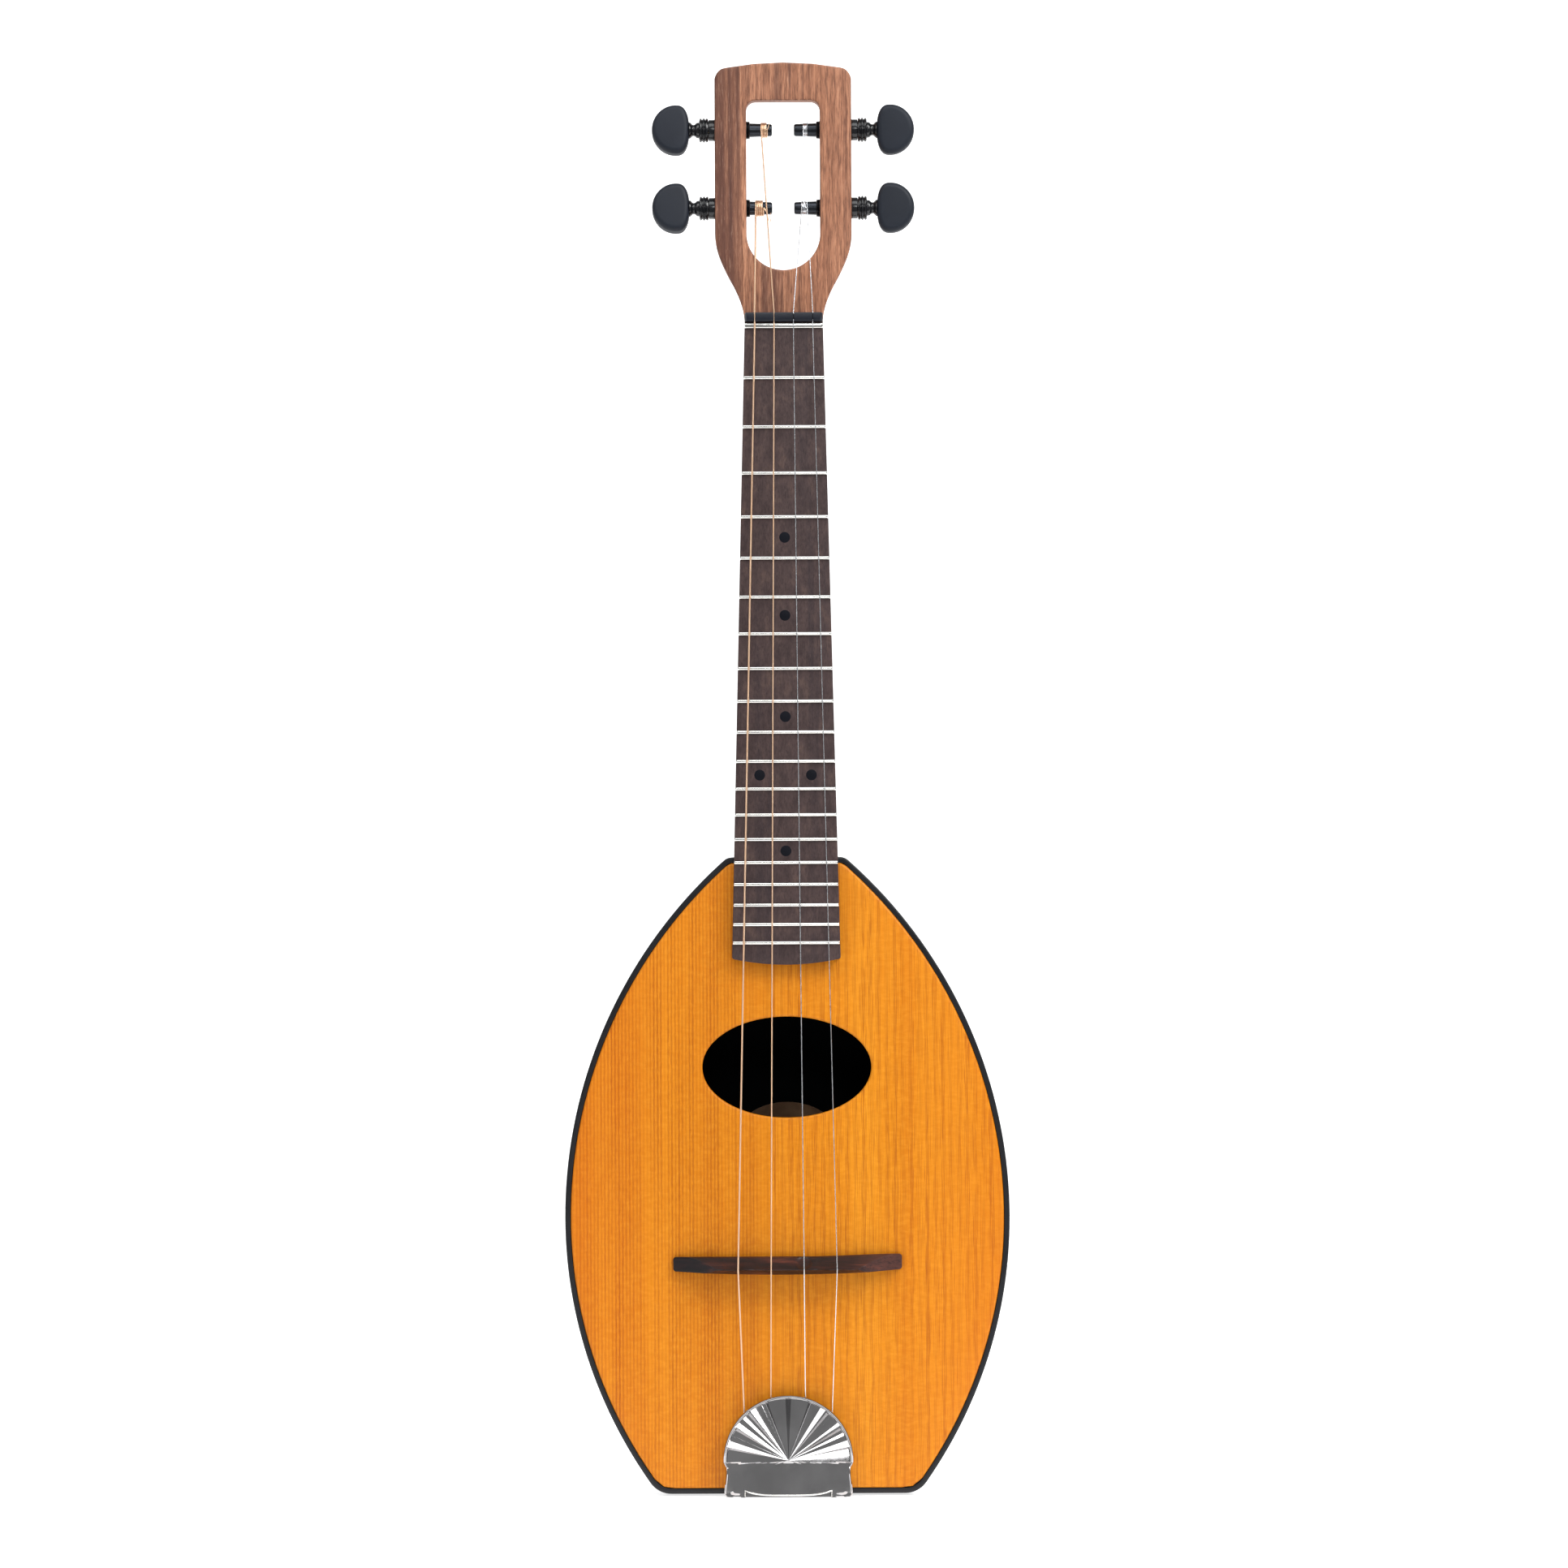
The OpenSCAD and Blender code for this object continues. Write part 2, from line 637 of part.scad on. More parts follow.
module tailpiece_base() {
    color("#b9bcc0") difference() {
        union() {
            plate(top_y - plate_t, plate_t) intersection() {
                translate([-plate_w / 2, 0]) square([plate_w, plate_top]);
                translate([0, fan_z]) circle(r = fan_r - cover_t - 0.8);
            }
            box([-leg_w / 2, top_y - plate_t, 0], [leg_w / 2, top_y + leg_len, plate_t]);
            translate([-9, hinge_y, hinge_z]) rotate([0, 90, 0]) cylinder(h = 18, r = knuckle_r);
            box([-9, hinge_y, hinge_z - knuckle_r], [9, top_y - plate_t / 2, hinge_z + knuckle_r]);
            for (x = tail_x)
                translate([x, top_y, hook_z]) rotate([90, 0, 0]) cylinder(h = hook_rise, r = hook_r);
        }
        translate([-10, hinge_y, hinge_z]) rotate([0, 90, 0]) cylinder(h = 20, r = pin_d / 2);
        for (x = screw_x) {
            upright(x, screw_y, -1, plate_t + 1, screw_r + seat_gap);
            translate([x, screw_y, -TIP])
                cylinder(h = plate_t, r1 = screw_head_r + seat_gap, r2 = screw_r + seat_gap);
        }
    }
}

module tailpiece_screws() {
    color("#8d9095") for (x = screw_x) translate([x, screw_y, 0]) {
        cylinder(h = plate_t, r1 = screw_head_r, r2 = screw_r);
        cylinder(h = screw_len, r = screw_r);
    }
}

module tailpiece_pin() {
    color("#8d9095") translate([-19.5, hinge_y, hinge_z]) rotate([0, 90, 0]) cylinder(h = 39, r = pin_d / 2);
}

// Outline of the cover in x and z: a round fan above a straight panel
module cover_outline(inset) {
    low = inset > 0 ? -lip_drop - 1 : -lip_drop;
    translate([0, fan_z]) circle(r = fan_r - inset);
    translate([-panel_w / 2 + inset, low]) square([panel_w - 2 * inset, fan_z - low]);
}

module tailpiece_cover() {
    front = top_y - cover_h;
    color("#c9cdd2") difference() {
        union() {
            difference() {
                plate(front, cover_h - cover_gap) intersection() {
                    cover_outline(0);
                    translate([-40, -lip_drop]) square([80, 60]);
                }
                plate(front + cover_t, cover_h) cover_outline(cover_t);
                box([-25, top_y - string_pass, 36], [25, top_y + 1, 60]);
                box([-40, hinge_y - 2.4, -lip_drop - 1], [40, top_y + 1, hinge_z + knuckle_r + 0.3]);
            }
            for (x = [-19, 10]) {
                translate([x, hinge_y, hinge_z]) rotate([0, 90, 0]) cylinder(h = 9, r = knuckle_r);
                box([x, front + cover_t / 2, hinge_z - 1.1], [x + 9, hinge_y, hinge_z + knuckle_r]);
            }
        }
        translate([-30, hinge_y, hinge_z]) rotate([0, 90, 0]) cylinder(h = 60, r = pin_d / 2 + run_gap);
        plate(front - 1, 3) translate([-cutout_w / 2, -lip_drop - 1])
            square([cutout_w, cutout_top + lip_drop + 1]);
    }
}

// ---------- Strings ----------

module string(n) {
    skin([for (p = string_route(n)) [for (k = [0:CORD_SIDES - 1]) let (a = -360 * k / CORD_SIDES)
        p + [string_r[n] * cos(a), string_r[n] * sin(a), 0]]]);
}

// Turns of string on post n, laid side by side towards the wood
module winding(n) {
    step = 2 * string_r[n] + WIND_GAP;
    at_peg(n) for (k = [0:wind_turns - 1]) {
        x = wind_at[n] + (k + 0.5 - wind_turns / 2) * step;
        translate([0, 0, x]) rotate_extrude()
            translate([post_r(x) + string_r[n] + WIND_GAP, 0]) circle(r = string_r[n], $fn = 16);
    }
}

// ---------- Geared pegs ----------

module peg_case(n) {
    at_peg(n) difference() {
        barrel(case_in, wood_out - TIP, case_d / 2);
        barrel(case_in - 1, chamber_in + 1, post_root_d / 2 + run_gap);
        barrel(chamber_in, gear_in, chamber_r);
        translate([0, 0, gear_in - 0.1]) linear_extrude(gear_len + 0.2)
            polygon(gear_outline(RING_TEETH, ring_r + tooth_ded, ring_r - tooth_add, 0));
        barrel(gear_out, wood_out + 1, chamber_r);
    }
}

module peg_collar(n) {
    at_peg(n) difference() {
        union() {
            barrel(plug_in, wood_out + 0.5, chamber_r - run_gap);
            barrel(wood_out, collar_out, collar_d / 2);
        }
        barrel(plug_in - 1, collar_out + 1, shaft_r + run_gap);
    }
}

// Sun gear, its thrust flange and the spindle that the button is pressed on
module peg_sun(n) {
    at_peg(n) {
        translate([0, 0, gear_in + 0.1]) linear_extrude(gear_len - 0.2)
            polygon(gear_outline(SUN_TEETH, sun_r - tooth_ded, sun_r + tooth_add, 0));
        barrel(gear_out - 0.2, thrust_in + 0.1, 0.7 * sun_r);
        barrel(thrust_in, thrust_in + thrust_len, 1.45 * shaft_r);
        barrel(thrust_in + thrust_len / 2, foot_in, shaft_r);
        barrel(foot_in - 0.1, spindle_out, spindle_r);
    }
}

// Button: ringed foot, waisted stem and a flat D-shaped head
module peg_button(n) {
    ring_r = ring_d / 2;
    groove = ring_len / 7;
    ripple = [for (k = [0:6]) let (r = k % 2 == 0 ? ring_r : ring_r - 0.6)
        for (e = [0, 1]) [r, foot_in + groove * (k + e)]];
    stem = [[3.65, foot_out], [3.65, foot_out + 1], [2.5, foot_out + 1.6], [2.5, foot_out + 3],
        [3.75, button_in], [3.75, button_in + 1], [spindle_r + run_gap, button_in + 1]];
    head = [for (k = [-12:12]) let (a = 90 * k / 12)
        [head_span / 2 * sin(a), button_in + head_len * pow(cos(a), 0.8)]];
    at_peg(n) difference() {
        union() {
            rotate_extrude() polygon(concat([[spindle_r + run_gap, foot_in]], ripple, stem));
            translate([0, head_thick / 2, 0]) rotate([90, 0, 0]) linear_extrude(head_thick) polygon(head);
        }
        barrel(foot_in - 1, spindle_out + 0.5, spindle_r + run_gap);
    }
}

// String post, its journal and the planet carrier with three pins
module peg_post(n) {
    at_peg(n) difference() {
        union() {
            translate([0, 0, post_tip + 1])
                cylinder(h = case_in - post_tip - 1, r1 = post_r(post_tip + 1), r2 = post_root_d / 2);
            translate([0, 0, post_tip]) cylinder(h = 1, r1 = post_tip_d / 2 - 0.8, r2 = post_r(post_tip + 1));
            barrel(case_in, chamber_in + 0.2, post_root_d / 2);
            barrel(chamber_in + 0.1, carrier_out, ring_r - tooth_add - 0.1);
            for (k = [0:2]) rotate(120 * k) translate([orbit_r, 0, 0])
                barrel(carrier_out - 0.5, gear_out + 0.2, planet_pin_r);
        }
        translate([0, 10, post_tip + 3]) rotate([90, 0, 0]) cylinder(h = 20, r = 0.6);
    }
}

// Planet k of peg n
module planet(n, k) {
    at_peg(n) rotate(120 * k) translate([orbit_r, 0, gear_in + 0.1])
        linear_extrude(gear_len - 0.2) difference() {
            polygon(gear_outline(SUN_TEETH, sun_r - tooth_ded, sun_r + tooth_add, 15));
            circle(r = planet_pin_r + run_gap);
        }
}

body_shell();
soundboard();
soundboard_braces();
sound_label();
neck_block();
tail_block();
neck();
neck_bolts();
fretboard();
position_dots();
zero_fret();
frets();
nut();
bridge();
tailpiece_base();
tailpiece_screws();
tailpiece_pin();
tailpiece_cover();
for (n = [0:3]) {
    name = str(n + 1);
    color(n < 2 ? "#b07a45" : "#c8cacc") string(n);
    color(n < 2 ? "#b07a45" : "#c8cacc") winding(n);
    color("#2b2f34") peg_case(n);
    color("#2b2f34") peg_collar(n);
    color("#24282d") peg_button(n);
    color("#b99a56") peg_sun(n);
    color("#33383e") peg_post(n);
    for (k = [0:2]) {
        letter = ["a", "b", "c"][k];
        color("#b99a56") planet(n, k);
    }
}
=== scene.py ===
import json
import math

import bmesh
import bpy
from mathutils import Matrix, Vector


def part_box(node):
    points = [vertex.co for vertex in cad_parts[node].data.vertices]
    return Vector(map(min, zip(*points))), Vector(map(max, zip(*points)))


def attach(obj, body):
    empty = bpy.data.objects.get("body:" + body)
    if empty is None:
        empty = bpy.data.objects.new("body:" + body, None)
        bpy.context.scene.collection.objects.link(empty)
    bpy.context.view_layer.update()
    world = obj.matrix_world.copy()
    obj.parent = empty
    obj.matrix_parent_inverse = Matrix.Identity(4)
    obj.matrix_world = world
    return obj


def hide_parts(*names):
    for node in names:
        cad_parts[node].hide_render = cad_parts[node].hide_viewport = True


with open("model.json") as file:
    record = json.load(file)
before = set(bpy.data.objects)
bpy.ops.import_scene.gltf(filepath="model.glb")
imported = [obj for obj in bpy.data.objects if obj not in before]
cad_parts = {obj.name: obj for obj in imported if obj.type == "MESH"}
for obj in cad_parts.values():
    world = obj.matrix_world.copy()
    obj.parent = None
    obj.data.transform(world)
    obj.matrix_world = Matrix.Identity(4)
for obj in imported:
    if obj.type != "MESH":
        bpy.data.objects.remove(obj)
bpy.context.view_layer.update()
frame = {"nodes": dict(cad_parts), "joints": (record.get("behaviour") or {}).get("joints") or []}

# Everything below is built in millimetres and scaled to metres when a mesh is made.
MM = 0.001


# ---------- Places read from the frame ----------

def span(node):
    """Lowest and highest corner of a CAD node, in millimetres."""
    low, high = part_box(node)
    return Vector(low) / MM, Vector(high) / MM


def joint_place(name):
    """Where a joint sits, in millimetres."""
    joint = next(j for j in frame["joints"] if j["name"] == name)
    return Vector(joint["pos_m"]) / MM


SHELL_LOW, SHELL_HIGH = span("body_shell")
TOP_LOW, TOP_HIGH = span("soundboard")
NECK_HIGH = span("neck")[1]
BOARD_LOW, BOARD_HIGH = span("fretboard")
NUT_LOW, NUT_HIGH = span("nut")
ZERO_LOW, ZERO_HIGH = span("zero_fret")
BRIDGE_LOW, BRIDGE_HIGH = span("bridge")
COVER_LOW, COVER_HIGH = span("tailpiece_cover")
HINGE = joint_place("tailpiece_lid_hinge")

TOP_Y = TOP_LOW.y
RIM_Y = SHELL_LOW.y
BODY_LEN = SHELL_HIGH.z
HALF_W = SHELL_HIGH.x
WALL = TOP_LOW.z
ZERO_Z = (ZERO_LOW.z + ZERO_HIGH.z) / 2
BRIDGE_Z = (BRIDGE_LOW.z + BRIDGE_HIGH.z) / 2
FAN_R = COVER_HIGH.x
FAN_Z = COVER_HIGH.z - FAN_R

# Sizes that the frame's boxes don't give, in millimetres and degrees
SHOULDER_HALF = 27.5
BASE_HALF = 60.7
WIDEST_Z = 129.0
CORNER_R = 12.0
BOWL_DEPTH = 68.0
HOLE = (39.4, 23.6, 199.1)
SLOT_HALF = 17.2
SLOT_CORNER = 4.3
SLOT_LOW_Z = ZERO_Z + 43.5
SLOT_TOP_Z = ZERO_Z + 105.4
HEAD_T = 14.0
SCALE_LEN = ZERO_Z - BRIDGE_Z - 5.5
FRETS = 19
STRING_R = (0.43, 0.33, 0.23, 0.2)
NUT_SPREAD = 27.1
BRIDGE_SPREAD = 46.1
SIDES = (-1, -1, 1, 1)
HOOK_X = (-20.35, -8.1, 8.1, 20.35)
HEAD_TILT = (-13, -11, -4, -4)
PEG_BORE_R = 4.25
COVER_H = 9.6
COVER_SHEET = 0.6
PLEAT_PITCH = 19.3
# Share of a pleat's pitch that its steep lower flank takes
STEEP = 0.14

# The camera: what the picture spans at the soundboard, its middle, how far off it stands and its roll
VIEW_W = 731.79
VIEW_X, VIEW_Z = -0.76, 331.24
VIEW_DISTANCE = 4000
ROLL = 0.24

# Points nearer than this are welded, in metres
WELD = 1e-7


# ---------- Mesh tools ----------

def lin(r, g, b):
    """Linear colour from 8-bit sRGB."""
    def one(c):
        c /= 255
        return c / 12.92 if c <= 0.04045 else ((c + 0.055) / 1.055) ** 2.4
    return (one(r), one(g), one(b), 1)


def new_object(name, shape):
    """Object from a shape, which is a pair: points in millimetres, and faces."""
    verts, faces = shape
    mesh = bpy.data.meshes.new(name)
    mesh.from_pydata([Vector(v) * MM for v in verts], [], faces)
    made = bpy.data.objects.new(name, mesh)
    bpy.context.scene.collection.objects.link(made)
    return made


def face_out(mesh, weld=0):
    """Turns every face outward. Points nearer than weld become one."""
    bm = bmesh.new()
    bm.from_mesh(mesh)
    if weld:
        bmesh.ops.remove_doubles(bm, verts=bm.verts, dist=weld)
    bmesh.ops.recalc_face_normals(bm, faces=bm.faces)
    bm.to_mesh(mesh)
    bm.free()


def make(name, shape, material, body="root", sharp=35, replaces=()):
    """Piece from a shape, shaded smooth except over edges sharper than an angle."""
    piece = new_object(name, shape)
    piece.data.validate()
    finish_mesh(piece, sharp)
    piece.data.materials.append(material)
    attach(piece, body)
    if replaces:
        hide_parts(*replaces)
    return piece


def finish_mesh(piece, sharp):
    """Outward normals, smooth shading and sharp edges by angle."""
    face_out(piece.data, WELD)
    piece.data.shade_smooth()
    piece.data.set_sharp_from_angle(angle=math.radians(sharp))


def loft(rings, closed=False):
    """Points and faces through rings of equal length: capped at both ends, or closed on itself."""
    n = len(rings[0])
    verts = [p for ring in rings for p in ring]
    last = len(rings) if closed else len(rings) - 1
    faces = []
    for i in range(last):
        a, b = i * n, (i + 1) % len(rings) * n
        for k in range(n):
            m = (k + 1) % n
            faces.append((a + k, a + m, b + m, b + k))
    if not closed:
        faces.append(tuple(range(n))[::-1])
        faces.append(tuple((len(rings) - 1) * n + k for k in range(n)))
    return verts, faces


def joined(parts):
    """Several (verts, faces) pairs as one."""
    verts, faces = [], []
    for v, f in parts:
        base = len(verts)
        verts += v
        faces += [tuple(i + base for i in face) for face in f]
    return verts, faces


def inset(outline, e):
    """Outline of (x, z) points moved inward by e along the corner normals. It runs anticlockwise."""
    n = len(outline)
    out = []
    for k in range(n):
        (ax, az), (bx, bz), (cx, cz) = outline[k - 1], outline[k], outline[(k + 1) % n]
        d1, d2 = Vector((bx - ax, bz - az)), Vector((cx - bx, cz - bz))
        n1, n2 = Vector((-d1.y, d1.x)).normalized(), Vector((-d2.y, d2.x)).normalized()
        m = n1 + n2
        m = m / max(0.3, m.length_squared / 2)
        out.append((bx + m.x * e, bz + m.y * e))
    return out


def quarter(steps):
    """Quarter-round edge of radius 1 as (1 - sine, 1 - cosine) pairs from 0 to 90 degrees."""
    turns = [math.pi / 2 * k / steps for k in range(steps + 1)]
    return [(1 - math.sin(a), 1 - math.cos(a)) for a in turns]


def at_y(outline, y):
    """Ring of an (x, z) outline at one y."""
    return [(x, y, z) for x, z in outline]


def slab(outline, front, back, r_front=0.0, r_back=0.0, steps=4):
    """Plate of an (x, z) outline between two y planes, with rounded edges."""
    rings = []
    for e, drop in quarter(steps) if r_front else [(1, 0)]:
        rings.append(at_y(inset(outline, r_front * e), front + r_front * drop))
    for rise, e in quarter(steps) if r_back else [(1, 0)]:
        rings.append(at_y(inset(outline, r_back * e), back - r_back * rise))
    return loft(rings)


def turned(profile, place, side, steps=48, closed=False):
    """Profile turned about a peg axis. It holds (distance from the slot's middle, radius)."""
    turns = [2 * math.pi * k / steps for k in range(steps)]
    rings = [[(side * x, place.y + r * math.cos(a), place.z + r * math.sin(a)) for a in turns]
             for x, r in profile]
    return loft(rings, closed)


def polar(cx, cz, r, angle):
    """Point at a distance from a centre, along an angle in degrees."""
    return cx + r * math.cos(math.radians(angle)), cz + r * math.sin(math.radians(angle))


def arc(cx, cz, r, start, end, steps):
    """Points on an arc, angles in degrees."""
    return [polar(cx, cz, r, start + (end - start) * k / steps) for k in range(steps + 1)]


def bend(a, b, c, t):
    """Point at share t of a curve that leaves a and reaches c, both towards b."""
    return a * (1 - t) ** 2 + b * 2 * t * (1 - t) + c * t * t


def seen_from(centre, outline, angles):
    """Distance from the centre to a closed outline along each angle, in degrees."""
    cx, cz = centre
    out = []
    for angle in angles:
        dx, dz = math.cos(math.radians(angle)), math.sin(math.radians(angle))
        best = 0
        for k in range(len(outline)):
            x0, z0 = outline[k - 1][0] - cx, outline[k - 1][1] - cz
            x1, z1 = outline[k][0] - cx, outline[k][1] - cz
            den = dx * (z1 - z0) - dz * (x1 - x0)
            if abs(den) < 1e-9:
                continue
            r = (x0 * (z1 - z0) - z0 * (x1 - x0)) / den
            t = (x0 * dz - z0 * dx) / den
            if r > 0 and -1e-6 <= t <= 1 + 1e-6:
                best = max(best, r)
        out.append(best)
    return out


def smooth(t):
    """Smooth step from 0 to 1."""
    t = min(1, max(0, t))
    return t * t * (3 - 2 * t)


def cut(piece, shape):
    """Takes a shape's volume out of the piece."""
    tool = new_object("tool", shape)
    face_out(tool.data)
    mod = piece.modifiers.new("cut", "BOOLEAN")
    mod.operation, mod.object, mod.solver = "DIFFERENCE", tool, "EXACT"
    graph = bpy.context.evaluated_depsgraph_get()
    mesh = bpy.data.meshes.new_from_object(piece.evaluated_get(graph))
    piece.modifiers.clear()
    piece.data = mesh
    bpy.data.objects.remove(tool)


# ---------- Materials ----------

class Shader:
    """A node material on object coordinates in metres."""

    def __init__(self, name, **sockets):
        self.material = bpy.data.materials.new(name)
        self.material.use_nodes = True
        self.tree = self.material.node_tree
        self.bsdf = self.tree.nodes["Principled BSDF"]
        self.coords = self.node("TexCoord").outputs["Object"]
        self.fill(self.bsdf, **sockets)

    def node(self, kind, **values):
        made = self.tree.nodes.new("ShaderNode" + kind)
        for key, value in values.items():
            setattr(made, key, value)
        return made

    def feed(self, socket, value):
        """Links another node's output to the socket, or sets the socket to a constant."""
        if hasattr(value, "is_linked"):
            self.tree.links.new(value, socket)
        else:
            socket.default_value = value

    def fill(self, node, **values):
        """Feeds a node's sockets by name, with _ for each space."""
        for key, value in values.items():
            self.feed(node.inputs[key.replace("_", " ")], value)

    def axis(self, name):
        made = self.node("SeparateXYZ")
        self.fill(made, Vector=self.coords)
        return made.outputs[name]

    def scaled(self, x, y, z):
        made = self.node("Mapping")
        self.fill(made, Vector=self.coords, Scale=(x, y, z))
        return made.outputs["Vector"]

    def noise(self, vector, scale, detail=3.0, rough=0.5, distort=0.0):
        made = self.node("TexNoise")
        self.fill(made, Vector=vector, Scale=scale, Detail=detail, Roughness=rough, Distortion=distort)
        return made.outputs["Fac"]

    def wave(self, vector, scale, distort, detail, detail_scale, direction="X"):
        made = self.node("TexWave", bands_direction=direction)
        self.fill(made, Vector=vector, Scale=scale, Distortion=distort, Detail=detail,
                  Detail_Scale=detail_scale)
        return made.outputs["Fac"]

    def ramp(self, fac, *stops):
        made = self.node("ValToRGB")
        ramp = made.color_ramp
        while len(ramp.elements) < len(stops):
            ramp.elements.new(0.5)
        for element, (position, colour) in zip(ramp.elements, stops):
            element.position = position
            element.color = colour if len(colour) == 4 else (*colour, 1)
        self.fill(made, Fac=fac)
        return made.outputs["Color"]

    def level(self, fac, low, high, out_low=0.0, out_high=1.0):
        made = self.node("MapRange")
        self.fill(made, Value=fac, From_Min=low, From_Max=high, To_Min=out_low, To_Max=out_high)
        return made.outputs["Result"]

    def mix(self, fac, a, b):
        made = self.node("Mix", data_type="RGBA")
        for index, value in ((0, fac), (6, a), (7, b)):
            self.feed(made.inputs[index], value)
        return made.outputs[2]

    def math(self, operation, a, b=0.0):
        made = self.node("Math", operation=operation)
        self.feed(made.inputs[0], a)
        self.feed(made.inputs[1], b)
        return made.outputs[0]

    def bump(self, height, distance, strength):
        made = self.node("Bump")
        self.fill(made, Height=height, Distance=distance, Strength=strength)
        return made.outputs["Normal"]

    def paint(self, colour, rough=None, normal=None):
        """Feeds the surface and gives the finished material."""
        self.fill(self.bsdf, Base_Color=colour)
        if normal:
            self.fill(self.bsdf, Roughness=rough, Normal=normal)
        return self.material


def spruce_top():
    """Amber lacquered softwood: thin dark lines, tight on the left and wider on the right."""
    s = Shader("amber_softwood", Coat_Weight=0.06, Coat_Roughness=0.2, Specular_IOR_Level=0.18)
    along = s.scaled(1, 0.2, 0.012)
    ground = s.noise(s.scaled(1, 0.4, 0.03), 1300, 3, 0.6)
    tight = s.wave(along, 190, 5.0, 2, 110)
    loose = s.wave(along, 84, 7.0, 2, 45)
    strength = s.noise(s.scaled(1, 0.2, 0.02), 260, 2, 0.5)
    broad = s.noise(s.scaled(1, 0.2, 0.008), 42, 2, 0.5, 0.3)
    side = s.level(s.axis("X"), -0.035, 0.012)
    lines = s.mix(side, s.level(tight, 0.2, 0.9), s.level(loose, 0.5, 1.05))
    lines = s.math("MULTIPLY", lines, s.level(strength, 0.3, 0.7, 0.2, 0.85))
    fleck = s.noise(s.scaled(0.5, 1, 1.2), 420, 3, 0.6, 0.4)
    cloud = s.noise(s.scaled(1, 1, 0.5), 14, 2)
    base = s.ramp(broad, (0.3, lin(190, 112, 4)), (0.5, lin(198, 122, 8)), (0.7, lin(206, 132, 18)))
    base = s.mix(s.level(s.axis("Z"), 0.02, 0.25, 0.3, 0), base, lin(184, 104, 2))
    # Painted highlight: the wood turns lighter towards the top of the soundboard
    base = s.mix(s.level(s.axis("Z"), 0.16, 0.29, 0, 0.45), base, lin(212, 124, 26))
    base = s.mix(s.level(ground, 0.3, 0.7, 0.25, 0), base, lin(184, 94, 2))
    base = s.mix(s.level(fleck, 0.4, 0.75, 0, 0.3), base, lin(226, 152, 40))
    base = s.mix(lines, base, lin(138, 64, 2))
    edge = s.level(s.math("ABSOLUTE", s.axis("X")), 0.05, 0.105, 0, 0.55)
    base = s.mix(s.math("MULTIPLY", edge, cloud), base, lin(186, 80, 14))
    return s.paint(base, s.level(ground, 0.3, 0.7, 0.4, 0.5), s.bump(ground, 0.00004, 0.4))


def walnut():
    """Brown figured neck wood with dark streaks and fine open pores."""
    s = Shader("figured_neck_wood", Specular_IOR_Level=0.3)
    fine = s.noise(s.scaled(1, 1, 0.07), 1900, 4, 0.7, 0.2)
    mid = s.noise(s.scaled(1, 0.7, 0.035), 520, 3, 0.6, 0.4)
    streak = s.noise(s.scaled(1, 0.6, 0.012), 120, 2, 0.5, 0.5)
    broad = s.noise(s.scaled(1, 0.6, 0.05), 38, 2, 0.5, 0.6)
    base = s.ramp(mid, (0.3, lin(124, 82, 62)), (0.5, lin(154, 105, 80)), (0.7, lin(184, 131, 101)))
    base = s.mix(s.level(broad, 0.35, 0.7, 0, 0.45), base, lin(170, 110, 76))
    base = s.mix(s.level(streak, 0.45, 0.33, 0, 0.8), base, lin(78, 48, 42))
    vein = s.noise(s.scaled(1, 0.3, 0.02), 330, 2, 0.5, 0.9)
    base = s.mix(s.level(vein, 0.4, 0.28, 0, 0.8), base, lin(66, 40, 38))
    base = s.mix(s.level(fine, 0.54, 0.38, 0, 0.65), base, lin(78, 48, 38))
    base = s.mix(s.level(fine, 0.58, 0.74, 0, 0.35), base, lin(208, 168, 140))
    return s.paint(base, s.level(fine, 0.3, 0.7, 0.62, 0.5), s.bump(fine, 0.00012, 0.5))


def dark_board():
    """Dark oiled fretboard wood with short pores."""
    s = Shader("dark_fretboard_wood", Specular_IOR_Level=0.2)
    fine = s.noise(s.scaled(1, 1, 0.3), 1700, 4, 0.7)
    mottle = s.noise(s.scaled(1, 1, 0.45), 260, 3, 0.6, 0.3)
    streak = s.noise(s.scaled(1, 1, 0.03), 120, 2, 0.5, 0.4)
    base = s.ramp(mottle, (0.3, lin(54, 42, 42)), (0.55, lin(68, 54, 53)), (0.75, lin(82, 65, 60)))
    base = s.mix(s.level(streak, 0.42, 0.32, 0, 0.5), base, lin(46, 38, 42))
    base = s.mix(s.level(fine, 0.5, 0.36, 0, 0.5), base, lin(40, 31, 32))
    base = s.mix(s.level(fine, 0.6, 0.75, 0, 0.25), base, lin(112, 92, 84))
    return s.paint(base, s.level(fine, 0.3, 0.7, 0.58, 0.44), s.bump(fine, 0.0001, 0.5))


def bridge_wood():
    """Polished dark red bridge wood, with painted shade on its left end and a painted highlight on its right
    end.
    """
    s = Shader("dark_red_bridge_wood", Coat_Weight=0.04, Coat_Roughness=0.25, Specular_IOR_Level=0.25)
    fine = s.noise(s.scaled(0.1, 1, 1), 1500, 4, 0.65)
    streak = s.noise(s.scaled(0.12, 1, 1), 300, 2, 0.5, 0.8)
    base = s.ramp(streak, (0.35, lin(16, 10, 12)), (0.55, lin(42, 21, 20)), (0.75, lin(80, 42, 33)))
    # Painted shade: near black towards the left end
    base = s.mix(s.level(s.axis("X"), -0.03, -0.042, 0, 0.85), base, lin(14, 11, 14))
    # Painted highlight: lighter red towards the right end
    base = s.mix(s.level(s.axis("X"), 0.03, 0.045, 0, 0.45), base, lin(96, 56, 46))
    base = s.mix(s.level(fine, 0.5, 0.36, 0, 0.7), base, lin(16, 11, 14))
    return s.paint(base, s.level(fine, 0.3, 0.7, 0.46, 0.32), s.bump(fine, 0.00008, 0.4))


